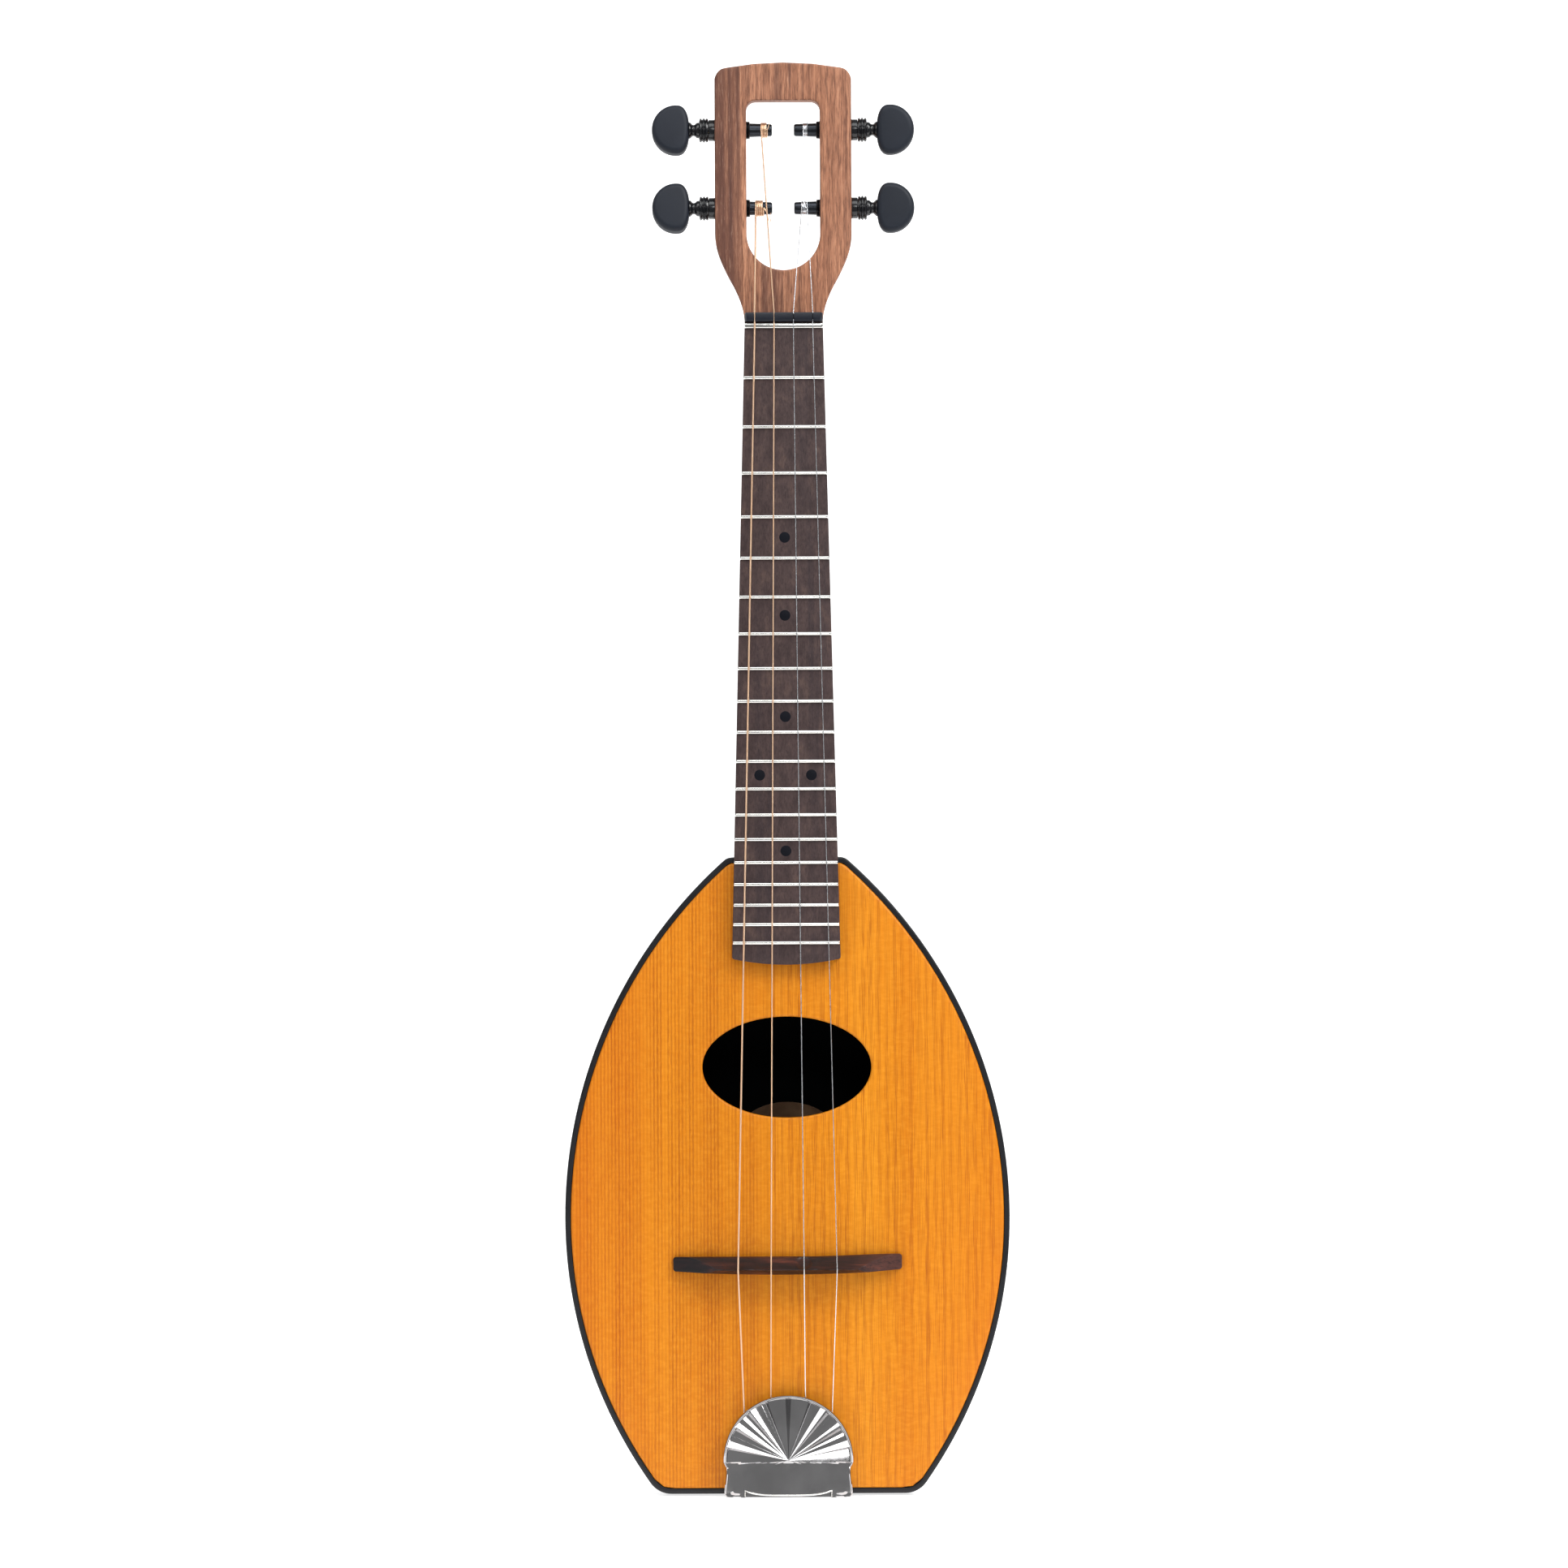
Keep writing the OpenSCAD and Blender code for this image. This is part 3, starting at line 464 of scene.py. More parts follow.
def pale_wood():
    """Bare spruce and maple inside the body."""
    s = Shader("bare_inner_wood")
    grain = s.noise(s.scaled(1, 1, 0.05), 500, 3, 0.6)
    base = s.ramp(grain, (0.35, lin(176, 138, 92)), (0.65, lin(214, 182, 134)))
    return s.paint(base, s.level(grain, 0.3, 0.7, 0.7, 0.6), s.bump(grain, 0.0001, 0.4))


def moulded(name, colour, rough, grain=1500, depth=0.00003, coat=0.0, spec=0.35):
    """Moulded plastic with a fine surface texture and faint mottling."""
    s = Shader(name, Coat_Weight=coat, Coat_Roughness=0.15, Specular_IOR_Level=spec)
    fine = s.noise(s.coords, grain, 2, 0.5)
    cloud = s.noise(s.coords, 40, 3, 0.5)
    light = tuple(min(1, c * 1.35) for c in colour[:3]) + (1,)
    base = s.mix(s.level(cloud, 0.35, 0.7), colour, light)
    return s.paint(base, s.level(cloud, 0.3, 0.7, rough - 0.04, rough + 0.06), s.bump(fine, depth, 0.6))


def metal(name, colour, rough, scratch=(1, 1, 1), depth=0.000008, fine_scale=3000):
    """Metal with fine handling marks stretched along one axis."""
    s = Shader(name, Metallic=1.0)
    marks = s.noise(s.scaled(*scratch), fine_scale, 3, 0.6)
    cloud = s.noise(s.coords, 60, 3, 0.5)
    dark = tuple(c * 0.82 for c in colour[:3]) + (1,)
    base = s.mix(s.level(cloud, 0.35, 0.65), dark, colour)
    return s.paint(base, s.level(marks, 0.3, 0.7, rough * 0.8, rough * 1.25), s.bump(marks, depth, 0.4))


def wound_wire():
    """Pale bronze wrap wire round a core: the wrap runs as fine rings along the string."""
    s = Shader("bronze_wrap", Metallic=1.0)
    wrap = s.wave(s.scaled(0.0, 0.0, 1), 1500, 0.0, 0, 1, "Z")
    cloud = s.noise(s.scaled(1, 1, 0.2), 300, 2)
    # Bronze colour with painted shade in the grooves between turns and a painted highlight on each turn's
    # crown
    base = s.ramp(wrap, (0.1, lin(186, 138, 102)), (0.5, lin(226, 186, 150)), (0.95, lin(250, 228, 204)))
    base = s.mix(s.level(cloud, 0.35, 0.7, 0, 0.3), base, lin(216, 166, 124))
    return s.paint(base, s.level(wrap, 0, 1, 0.42, 0.3), s.bump(wrap, 0.00004, 0.4))


def plain_paper():
    """Bare brown paper with soft fibres."""
    s = Shader("bare_label_paper")
    fibre = s.noise(s.coords, 1800, 4, 0.7)
    cloud = s.noise(s.coords, 90, 3)
    base = s.ramp(cloud, (0.3, lin(112, 84, 60)), (0.7, lin(140, 110, 82)))
    base = s.mix(s.level(fibre, 0.3, 0.7, 0, 0.3), base, lin(90, 66, 46))
    return s.paint(base, s.level(fibre, 0.3, 0.7, 0.85, 0.95), s.bump(fibre, 0.00006, 0.5))


SHELL = moulded("black_moulded_shell", lin(14, 15, 19), 0.36, 900, 0.00004, 0.04, 0.3)
TOP_WOOD = spruce_top()
NECK_WOOD = walnut()
BOARD_WOOD = dark_board()
BRIDGE_WOOD = bridge_wood()
INNER_WOOD = pale_wood()
PAPER = plain_paper()
NUT_BLACK = moulded("black_nut", lin(16, 20, 29), 0.4, 1200, 0.00002, 0, 0.3)
# Black plastic of the bowl's inside, made darker than the outside: partly painted shade
SHADED_INNER_BLACK = moulded("black_shell_inside_painted_shade", lin(6, 7, 9), 0.9, 900, 0.00004, 0, 0.05)
NICKEL = metal("bright_nickel_plate", lin(232, 230, 226), 0.25)
DOT_BLACK = moulded("black_dot", lin(8, 10, 18), 0.6, 1500, 0.00001, 0, 0.12)
PEG_BLACK = moulded("black_peg_head", lin(24, 28, 36), 0.5, 1200, 0.00002, 0, 0.22)
PEG_GLOSS = moulded("black_peg_fitting", lin(14, 15, 18), 0.2, 1200, 0.00001, 0.2)
POST_BLACK = metal("black_anodised_post", lin(52, 55, 60), 0.32, (0.1, 1, 1))
FRET_WIRE = metal("fret_wire", lin(226, 226, 222), 0.16, (0.1, 1, 1))
CHROME = metal("chrome_plate", lin(184, 183, 184), 0.06, (1, 1, 0.2), 0.000003, 1500)
STEEL = metal("plain_steel", lin(170, 172, 176), 0.3)
WOUND = wound_wire()
PLAIN_WIRE = metal("plain_string_steel", lin(222, 225, 229), 0.25, (1, 1, 0.1))
GEAR_BRASS = metal("machined_brass", lin(206, 168, 96), 0.28)


# ---------- Camera, light and floor ----------

def camera():
    """Long lens straight in front of the instrument."""
    data = bpy.data.cameras.new("camera")
    data.sensor_width = 36
    data.lens = data.sensor_width * VIEW_DISTANCE / VIEW_W
    data.clip_end = 100
    viewer = bpy.data.objects.new("camera", data)
    viewer.location = Vector((VIEW_X, TOP_Y - VIEW_DISTANCE, VIEW_Z)) * MM
    viewer.rotation_euler = (math.radians(90), math.radians(ROLL), 0)
    bpy.context.scene.collection.objects.link(viewer)
    bpy.context.scene.camera = viewer


def floor():
    """Pale floor that starts close in front, where the chrome reflects it, and bends up into a far wall."""
    near, far, bend_r, wall_top, half = -600, 5200, 900, 6500, 9000
    floor_z = COVER_LOW.z
    path = [(near, floor_z)] + arc(far, floor_z + bend_r, bend_r, -90, 0, 16) + [(far + bend_r, wall_top)]
    verts = [(x, y, z) for y, z in path for x in (-half, half)]
    faces = [(2 * k, 2 * k + 1, 2 * k + 3, 2 * k + 2) for k in range(len(path) - 1)]
    sweep = new_object("sweep", (verts, faces))
    sweep.data.shade_smooth()
    s = Shader("pale_sweep", Roughness=0.9, Emission_Color=(1, 1, 1, 1), Emission_Strength=0.72)
    cloud = s.noise(s.coords, 2.0, 2)
    sweep.data.materials.append(s.paint(s.ramp(cloud, (0.3, (0.88, 0.88, 0.88)), (0.7, (0.9, 0.9, 0.9)))))


def lights():
    """Even pale surroundings and four soft lamps, with places and sizes in metres and power in watts."""
    world = bpy.data.worlds.new("studio")
    world.use_nodes = True
    background = world.node_tree.nodes["Background"]
    background.inputs["Color"].default_value = (1, 1, 1, 1)
    background.inputs["Strength"].default_value = 0.32
    bpy.context.scene.world = world
    middle = Vector((0, 0, 0.33))
    for name, place, wide, tall, power in (
        ("key", (1.9, -1.5, 2.2), 1.3, 1.3, 62),
        ("left", (-1.9, -1.5, 1.9), 1.0, 1.3, 12),
        ("front", (0.4, -3.2, 1.5), 0.7, 0.7, 14),
        ("overhead", (0.0, -1.0, 2.2), 2.6, 1.1, 36),
    ):
        lamp = bpy.data.lights.new(name, "AREA")
        lamp.shape, lamp.size, lamp.size_y, lamp.energy = "RECTANGLE", wide, tall, power
        light = bpy.data.objects.new(name, lamp)
        light.location = place
        light.rotation_euler = (middle - light.location).to_track_quat("-Z", "Y").to_euler()
        bpy.context.scene.collection.objects.link(light)
    bpy.context.scene.view_settings.view_transform = "Standard"


# ---------- Body ----------

def body_side(e):
    """Right half of the body outline from the base up, moved inward by e."""
    low_in = HALF_W - BASE_HALF
    low_r = (low_in ** 2 + WIDEST_Z ** 2) / (2 * low_in)
    up_in, up_rise = HALF_W - SHOULDER_HALF, BODY_LEN - WIDEST_Z
    up_r = (up_in ** 2 + up_rise ** 2) / (2 * up_in)
    low_x, up_x = HALF_W - low_r, HALF_W - up_r
    corner = CORNER_R - min(e, CORNER_R - 2)
    cz = e + corner
    cx = low_x + math.sqrt((low_r - e - corner) ** 2 - (WIDEST_Z - cz) ** 2)
    touch = math.degrees(math.atan2(cz - WIDEST_Z, cx - low_x))
    top = math.degrees(math.asin((up_rise - e) / (up_r - e)))
    return (arc(cx, cz, corner, -90, touch, 10)
            + arc(low_x, WIDEST_Z, low_r - e, touch, 0, 28)[1:]
            + arc(up_x, WIDEST_Z, up_r - e, 0, top, 36)[1:])


def body_outline(e, shoulder_r=2.0):
    """Whole outline, anticlockwise from the middle of the base, with eased shoulder corners."""
    side = body_side(e)
    x, z = side[-1]
    px, pz = side[-2]
    away = Vector((px - x, pz - z)).normalized()
    corner = Vector((x, z))
    start, end = corner + away * shoulder_r, Vector((x - shoulder_r, z))
    soft = [tuple(bend(start, corner, end, t / 4)) for t in range(5)]
    side = [p for p in side if (Vector(p) - corner).length > shoulder_r] + soft
    base = [(side[0][0] * k / 6, side[0][1]) for k in range(1, 6)]
    top = [(side[-1][0] * k / 4, side[-1][1]) for k in (3, 2, 1)]
    half = base + side + top
    return [(0, side[0][1])] + half + [(0, side[-1][1])] + [(-px, pz) for px, pz in reversed(half)]


def bowl_ring(outline, depth, degrees):
    """One ring of the bowl: the same superellipse rule as the frame's shell."""
    a = math.radians(degrees)
    power = 0.833
    mid = BODY_LEN / 2
    s = math.cos(a) ** power
    base = min(1, 1.10 * math.cos(a) ** 0.45)
    shoulder = min(1, 1.035 * math.cos(a) ** 0.70)
    y = RIM_Y + depth * math.sin(a) ** power
    return [(x * s, y, mid + (z - mid) * (base if z < mid else shoulder)) for x, z in outline]


def body_shell():
    """Moulded bowl: rounded rim, ledge for the soundboard, smooth back and a black inside, darker than the
    outside as painted shade.
    """
    rim_r, lip_r = 0.7, 0.3
    outer, inner, ledge = body_outline(0), body_outline(WALL), body_outline(WALL + 6)
    board_back = TOP_HIGH.y
    ledge_back = board_back + 3
    rings = [bowl_ring(outer, BOWL_DEPTH, a) for a in (84, 82, 79, *range(76, 0, -4), 2)]
    rings += [at_y(inset(outer, rim_r * e), RIM_Y + rim_r * rise) for rise, e in quarter(5)]
    rings += [at_y(inset(outer, WALL - lip_r * e), RIM_Y + lip_r * drop) for e, drop in quarter(3)]
    rings += [at_y(inner, board_back), at_y(ledge, board_back), at_y(ledge, ledge_back)]
    rings.append([(x, ledge_back, z) for x, _, z in bowl_ring(inner, BOWL_DEPTH - WALL, 7)])
    rings += [bowl_ring(inner, BOWL_DEPTH - WALL, a) for a in (15, 22, 30, 38, 46, 54, 62, 70, 77, 84)]
    shell = make("bowl_shell", loft(rings), SHELL, replaces=["body_shell"])
    recess = [(-14.1, -2), (14.1, -2), (14.1, 1.25), (-14.1, 1.25)]
    cut(shell, slab(recess, RIM_Y - 2, span("tailpiece_base")[1].y + 0.1))
    finish_mesh(shell, 35)
    # Inward faces get the darker black, painted shade inside the body
    shell.data.materials.append(SHADED_INNER_BLACK)
    heart = Vector((0, RIM_Y + 20, BODY_LEN / 2)) * MM
    for face in shell.data.polygons:
        if face.center.y > (board_back + 0.1) * MM and face.normal.dot(face.center - heart) < 0:
            face.material_index = 1


def soundboard():
    """Thin lacquered plate with eased edges and a rounded oval hole."""
    wide, tall, middle = HOLE
    edge_r, hole_r = 1.3, 1.1
    front, back = TOP_LOW.y, TOP_HIGH.y
    angles = [1.5 * k - 180 for k in range(240)]

    def hole(e):
        """The oval, smaller all round by e."""
        points = []
        for t in map(math.radians, angles):
            r = 1 / math.sqrt((math.cos(t) / (wide - e)) ** 2 + (math.sin(t) / (tall - e)) ** 2)
            points.append((r * math.cos(t), middle + r * math.sin(t)))
        return points

    reach = seen_from((0, middle), body_outline(WALL + 0.1, 0.7), angles)
    outer = [polar(0, middle, r, angle) for r, angle in zip(reach, angles)]
    rings = [at_y(hole(0), back)]
    rings += [at_y(hole(-hole_r * e), front + hole_r * rise) for rise, e in quarter(5)]
    for k in range(1, 12):
        rings.append([(hx + (ox - hx) * k / 12, front, hz + (oz - hz) * k / 12)
                      for (hx, hz), (ox, oz) in zip(hole(-hole_r), inset(outer, edge_r))])
    rings += [at_y(inset(outer, edge_r * e), front + edge_r * drop) for e, drop in quarter(5)]
    rings.append(at_y(outer, back))
    make("soundboard_plate", loft(rings, True), TOP_WOOD, sharp=40, replaces=["soundboard"])


# ---------- Neck and fretboard ----------

def fret_z(n):
    """Height of fret n."""
    return ZERO_Z - SCALE_LEN * (1 - 2 ** (-n / 12))


def board_half(z):
    """Half width of the fretboard at height z."""
    t = (BOARD_HIGH.z - z) / (BOARD_HIGH.z - BOARD_LOW.z)
    return NUT_HIGH.x + (BOARD_HIGH.x - NUT_HIGH.x) * t


def head_half(z):
    """Half width of the headstock, which swells from the nut."""
    start, length = ZERO_Z + 1.1, 42
    share = min(1, max(0, (z - start) / length))
    return NUT_HIGH.x + (NECK_HIGH.x - NUT_HIGH.x) * (1 - math.cos(math.pi * share)) / 2


def neck_section(half, depth, edge, box):
    """Closed section of the neck, front face first, from a D shape (box 0) to a rounded slab (box 1)."""
    turns = (0, 0.5, 1.0, math.pi / 2)
    front = [(-half + edge * (1 - math.cos(a)), edge * (1 - math.sin(a))) for a in turns]
    front += [(-half * 0.5, 0), (0, 0)] + [(-x, y) for x, y in [(-half * 0.5, 0)] + front[::-1]]
    back = []
    steps, round_r = 24, 1.4
    for k in range(1, steps):
        a = math.pi * k / steps
        round_x, round_y = half * math.cos(a), edge + (depth - edge) * math.sin(a) ** 0.85
        t = min(k, steps - k) / steps
        u = (t - 0.25) / 0.15 * math.pi / 2
        if t < 0.25:
            box_x, box_y = half, edge + (depth - round_r - edge) * t / 0.25
        elif t < 0.4:
            box_x, box_y = half - round_r * (1 - math.cos(u)), depth - round_r * (1 - math.sin(u))
        else:
            box_x, box_y = (half - round_r) * (0.5 - t) / 0.1, depth
        if 2 * k > steps:
            box_x = -box_x
        back.append((round_x + (box_x - round_x) * box, round_y + (box_y - round_y) * box))
    return front + back


def neck():
    """Neck, heel and slotted headstock in one piece of wood."""
    heel_len, heel_depth, depth = 34, NECK_HIGH.y - TOP_Y, 15.0
    arc_drop, corner, board_edge, head_edge = 3.5, 4.2, 0.12, 1.02
    rings = []

    def add(z, half, thick, edge, box):
        rings.append([(x, TOP_Y + y, z) for x, y in neck_section(half, thick, edge, box)])

    heel_top, start, slot_start = BODY_LEN + heel_len, ZERO_Z - 20, SLOT_LOW_Z + 2
    for k in range(15):
        z = BODY_LEN + heel_len * k / 14
        share = smooth(1 - (z - BODY_LEN) / heel_len)
        add(z, board_half(z), depth + (heel_depth - depth) * share, board_edge, 0)
    for k in range(1, 9):
        z = heel_top + (start - heel_top) * k / 8
        add(z, board_half(z), depth, board_edge, 0)
    for k in range(1, 30):
        z = start + (slot_start - start) * k / 29
        thick = depth + (HEAD_T - depth) * smooth((z - start) / 30)
        half = board_half(z) if z < NUT_LOW.z else max(head_half(z), NUT_HIGH.x)
        edge = board_edge + (head_edge - board_edge) * smooth((z - NUT_HIGH.z + 2) / 4)
        add(z, half, thick, edge, smooth((z - ZERO_Z + 2) / 24))
    straight = NECK_HIGH.z - arc_drop - corner
    for k in range(1, 13):
        add(slot_start + (straight - slot_start) * k / 12, NECK_HIGH.x, HEAD_T, head_edge, 1)
    for k in range(1, 10):
        a = math.pi / 2 * k / 9
        half = NECK_HIGH.x - corner * (1 - math.cos(a))
        crown = arc_drop * math.sin(a) ** 0.7
        z = straight + (corner + arc_drop) * math.sin(a)
        ease_in = (max(0, a - 1.1) / (math.pi / 2 - 1.1)) ** 2
        section = neck_section(half, HEAD_T - 1.6 * ease_in, head_edge, 1)
        rings.append([(x, TOP_Y + y + 0.8 * ease_in, z - crown * (x / NECK_HIGH.x) ** 2) for x, y in section])
    piece = make("neck_and_headstock", loft(rings), NECK_WOOD, replaces=["neck"])
    cut(piece, slot_cutter())
    bore = [(SLOT_HALF - 2, PEG_BORE_R), (NECK_HIGH.x + 2, PEG_BORE_R)]
    cut(piece, joined([turned(bore, joint_place(f"button_{n}_turn"), SIDES[n - 1], 32) for n in range(1, 5)]))
    finish_mesh(piece, 32)


def slot_outline(e):
    """String slot, widened by e."""
    half = SLOT_HALF + e
    corner = SLOT_CORNER + e
    return (arc(0, SLOT_LOW_Z, half, 180, 360, 36)
            + arc(half - corner, SLOT_TOP_Z + e - corner, corner, 0, 90, 8)
            + arc(corner - half, SLOT_TOP_Z + e - corner, corner, 90, 180, 8))


def slot_cutter():
    """The slot as a plug that flares at both faces, so that its edges come out rounded."""
    flare = 1.0
    rings = [at_y(slot_outline(flare), TOP_Y - 3)]
    rings += [at_y(slot_outline(flare * e), TOP_Y + flare * drop) for e, drop in quarter(5)]
    rings += [[(x, 2 * TOP_Y + HEAD_T - y, z) for x, y, z in ring] for ring in reversed(rings)]
    return loft(rings)


def fretboard():
    """Tapered board with eased edges and a shallow curved end."""
    low, high = BOARD_LOW.z, BOARD_HIGH.z
    half = BOARD_HIGH.x
    end = [(half * k / 20, low + 2.8 * (k / 20) ** 2) for k in range(-20, 21)]
    corner = [(half - 0.25, low + 2.9), (half, low + 3.6)]
    outline = [(-x, z) for x, z in corner[::-1]] + end[1:-1] + corner
    outline += [(board_half(high), high), (-board_half(high), high)]
    plank = slab(outline, BOARD_LOW.y, BOARD_HIGH.y, 0.35, 0.0, 3)
    make("fretboard_plank", plank, BOARD_WOOD, replaces=["fretboard"])


def fret(n, width=1.7, height=1.0, power=0.8):
    """One fret: a domed crown with sloped ends over its tang's end."""
    z, half = fret_z(n), board_half(min(fret_z(n), BOARD_HIGH.z))
    face = BOARD_LOW.y
    rings = []
    rise = ((half - 0.02, 0.25), (half - 0.12, 0.6), (half - 0.5, 0.97), (half - 0.9, 1))
    for x, lift in [(-x, lift) for x, lift in rise] + list(rise[::-1]):
        ring = [(x, face + 0.05, z - width / 2), (x, face + 0.05, z + width / 2)]
        for k in range(9):
            a = math.pi * k / 8
            ring.append((x, face - height * lift * math.sin(a) ** power, z + width / 2 * math.cos(a)))
        rings.append(ring)
    return loft(rings)


def frets_and_nut():
    """Fret wires, position dots, and the black nut with its string notches."""
    wires = joined([fret(n) for n in range(1, FRETS + 1)])
    make("fret_wires", wires, FRET_WIRE, sharp=50, replaces=["frets"])
    zero = fret(0, 2.5, 1.15, 0.45)
    make("zero_fret_wire", zero, FRET_WIRE, sharp=50, replaces=["zero_fret"])
    dots = []
    for mark, shift in ((5, 0), (7, 0), (10, 0), (12, -0.26), (12, 0.26), (15, 0)):
        z = (fret_z(mark) + fret_z(mark - 1)) / 2
        x = shift * 2 * board_half(z)
        dots.append(slab(arc(x, z, 2.55, 0, 354, 59), BOARD_LOW.y - 0.02, BOARD_LOW.y + 0.9, 0.08, 0, 2))
    make("inlaid_dots", joined(dots), DOT_BLACK, replaces=["position_dots"])
    nut()


def nut():
    """Black nut: a rounded bar across the neck with a shallow notch for each string."""
    low, high = NUT_LOW, NUT_HIGH
    places = [(k / 3 - 0.5) * NUT_SPREAD for k in range(4)]
    stations = {low.x, low.x + 0.3, low.x + 0.8, high.x, high.x - 0.4, high.x - 1.2}
    for x, r in zip(places, STRING_R):
        for d in (-2.2 * r, -1.1 * r, -0.9 * r, 0, 0.9 * r, 1.1 * r, 2.2 * r):
            stations.add(x + d)
    rings = []
    for x in sorted(stations):
        end = min(abs(x - low.x), abs(x - high.x))
        ease = 1 - 0.28 * max(0, 1 - end / 1.2) ** 2
        notch = min([abs(x - p) / r for p, r in zip(places, STRING_R)])
        height = (high.y - low.y) * ease - (0.9 if notch < 1.0 else 0)
        thick = (high.z - low.z) / 2 * (1 - 0.2 * max(0, 1 - end / 1.2) ** 2)
        mid = (low.z + high.z) / 2
        ring = [(x, high.y, mid - thick), (x, high.y, mid + thick)]
        for k in range(9):
            a = math.pi * k / 8
            y = high.y - height + 1.1 * (1 - math.sin(a) ** 0.5)
            ring.append((x, y, mid + thick * math.cos(a)))
        rings.append(ring)
    make("nut_bar", loft(rings), NUT_BLACK, replaces=["nut"])


def label():
    """Bare oval of paper glued to the inside of the bowl."""
    low, high = span("sound_label")
    half_w, half_h = 26, 20
    turns = [math.radians(5 * k) for k in range(72)]
    oval = [(half_w * math.cos(a), high.z - half_h + half_h * math.sin(a)) for a in turns]
    make("paper_label", slab(oval, low.y, high.y, 0.1, 0, 2), PAPER, replaces=["sound_label"])


# ---------- Bridge ----------

def bridge_piece():
    """Carved bridge: a steep face to the tail, a long face to the neck and scooped wings."""
    half = BRIDGE_HIGH.x
    high = TOP_Y - BRIDGE_LOW.y
    zc = BRIDGE_Z - 2.5
    rings = []
    stations = [half * k / 110 for k in range(-110, 111)]
    for x in stations:
        top = BRIDGE_Z + 3.2 + 1.1 * smooth((x - 8) / 45)
        low = BRIDGE_Z - 5.0 + (1.5 if x < 0 else 2.2) * (x / half) ** 2
        wing = 3.0 + (high - 3.0) * max(0, (half - abs(x)) / 20.5) ** 1.6
        end = max(0, abs(x) - half + 1.5) / 1.5
        low, top = low + 0.9 * end ** 3, top - 0.9 * end ** 3
        points = []
        for k in range(29):
            z = low + (top - low) * k / 28
            if z < zc:
                roof = high - (zc - z) * 2.2
            else:
                roof = high - (z - zc) * 1.25
            dish = 0
            for cx, deep, r in ((7.68, 1.1, 4.2), (-25.5, 0.6, 5.5), (-11.0, 0.35, 5.0), (17.5, 0.35, 5.0)):
                d = math.hypot(x - cx, (z - zc - 3.2) * 1.25) / r
                dish = max(dish, deep * smooth((1 - d) / 0.45) if d < 1 else 0)
            h = min(roof - dish, wing)
            edge = min(z - low, top - z)
            h -= 0.45 * max(0, 1 - edge / 0.4) ** 2 + 0.7 * end ** 3
            points.append((x, TOP_Y - h, z))
        rings.append([(x, TOP_Y, low)] + points + [(x, TOP_Y, top)])
    make("carved_bridge", loft(rings), BRIDGE_WOOD, sharp=24, replaces=["bridge"])


# ---------- Tailpiece ----------

def cover_outline():
    """Fan above a waisted panel, anticlockwise."""
    low = COVER_LOW.z
    side = []
    for k in range(25):
        z = low + (FAN_Z - 1.6 - low) * k / 24
        wide = 29.9 - 0.95 * smooth(z / 12) + 1.25 * smooth((z - 12.2) / 2.6)
        side.append((wide - 1.0 * max(0, 1 - (z - low) / 1.2) ** 2, z))
    return side + arc(0, FAN_Z, FAN_R, -2, 182, 120) + [(-x, z) for x, z in reversed(side)]


def pleat_height(r, angle, reach):
    """Height of the pleated fan, for an angle folded onto its right half."""
    u = (90 - angle) / PLEAT_PITCH
    part = u - math.floor(u)
    if part < STEEP:
        fold = part / STEEP
    else:
        rise = (part - STEEP) / (1 - STEEP)
        fold = 1 - 0.5 * rise if u > 4 else 1 - rise ** 2
    deep = 3.6 * r / FAN_R
    close = max(0, 3.1 * (FAN_R - 0.75 - r) / (0.025 * FAN_R))
    bead = 0.35 * math.exp(-((reach - r - 0.45) / 0.32) ** 2)
    return COVER_H - 0.4 * (r / FAN_R) ** 2 - min(deep * fold, close) + bead


def panel_height(x, z, inside):
    """Height of the domed panel below the fan, at a distance inside its edge."""
    dome = 0.9 * (x / 29) ** 2 + 0.05 * (z + 2) + 0.0015 * (z + 2) ** 2
    side = 29 - abs(x)
    chamfer = 0.55 * max(0, 3.2 - side) - 0.3 * math.exp(-((inside - 0.45) / 0.35) ** 2) * (z > 0)
    mound = 0.25 * math.exp(-(x * x / 30 + (z - FAN_Z) ** 2 / 12))
    return COVER_H - 0.4 - dome - chamfer + mound


def cover_height(x, z, r, angle, reach):
    """Height of the cover's outer face above the soundboard."""
    if angle > 270:
        angle -= 360
    angle = min(angle, 180 - angle)
    if angle >= -6 and z >= FAN_Z - 1.2:
        return pleat_height(r, angle, reach)
    flat = max(0, 120 * (reach - 0.75 - r) / FAN_R)
    pleat = COVER_H - 0.4 * (r / FAN_R) ** 2 - min(3.0 * r / FAN_R, flat)
    return pleat + (panel_height(x, z, reach - r) - pleat) * smooth(FAN_Z + 0.2 - z)


def cover_angles():
    """Angles round the fan's centre, close together over each pleat and at the panel's corners."""
    angles = [90]
    for k in range(5):
        for part in (0, 0.025, 0.07, 0.115, STEEP, 0.17, 0.27, 0.38, 0.5, 0.61, 0.71, 0.8, 0.88, 0.94, 0.975):
            turn = (k + part) * PLEAT_PITCH
            if 0 < turn < 90:
                angles += [90 - turn, 90 + turn]
    corner = [180.6, 181.8, 183, 184.5, 186]
    angles += corner + [187 + 166 * k / 70 for k in range(71)] + [540 - a for a in corner]
    return sorted(a % 360 for a in angles)


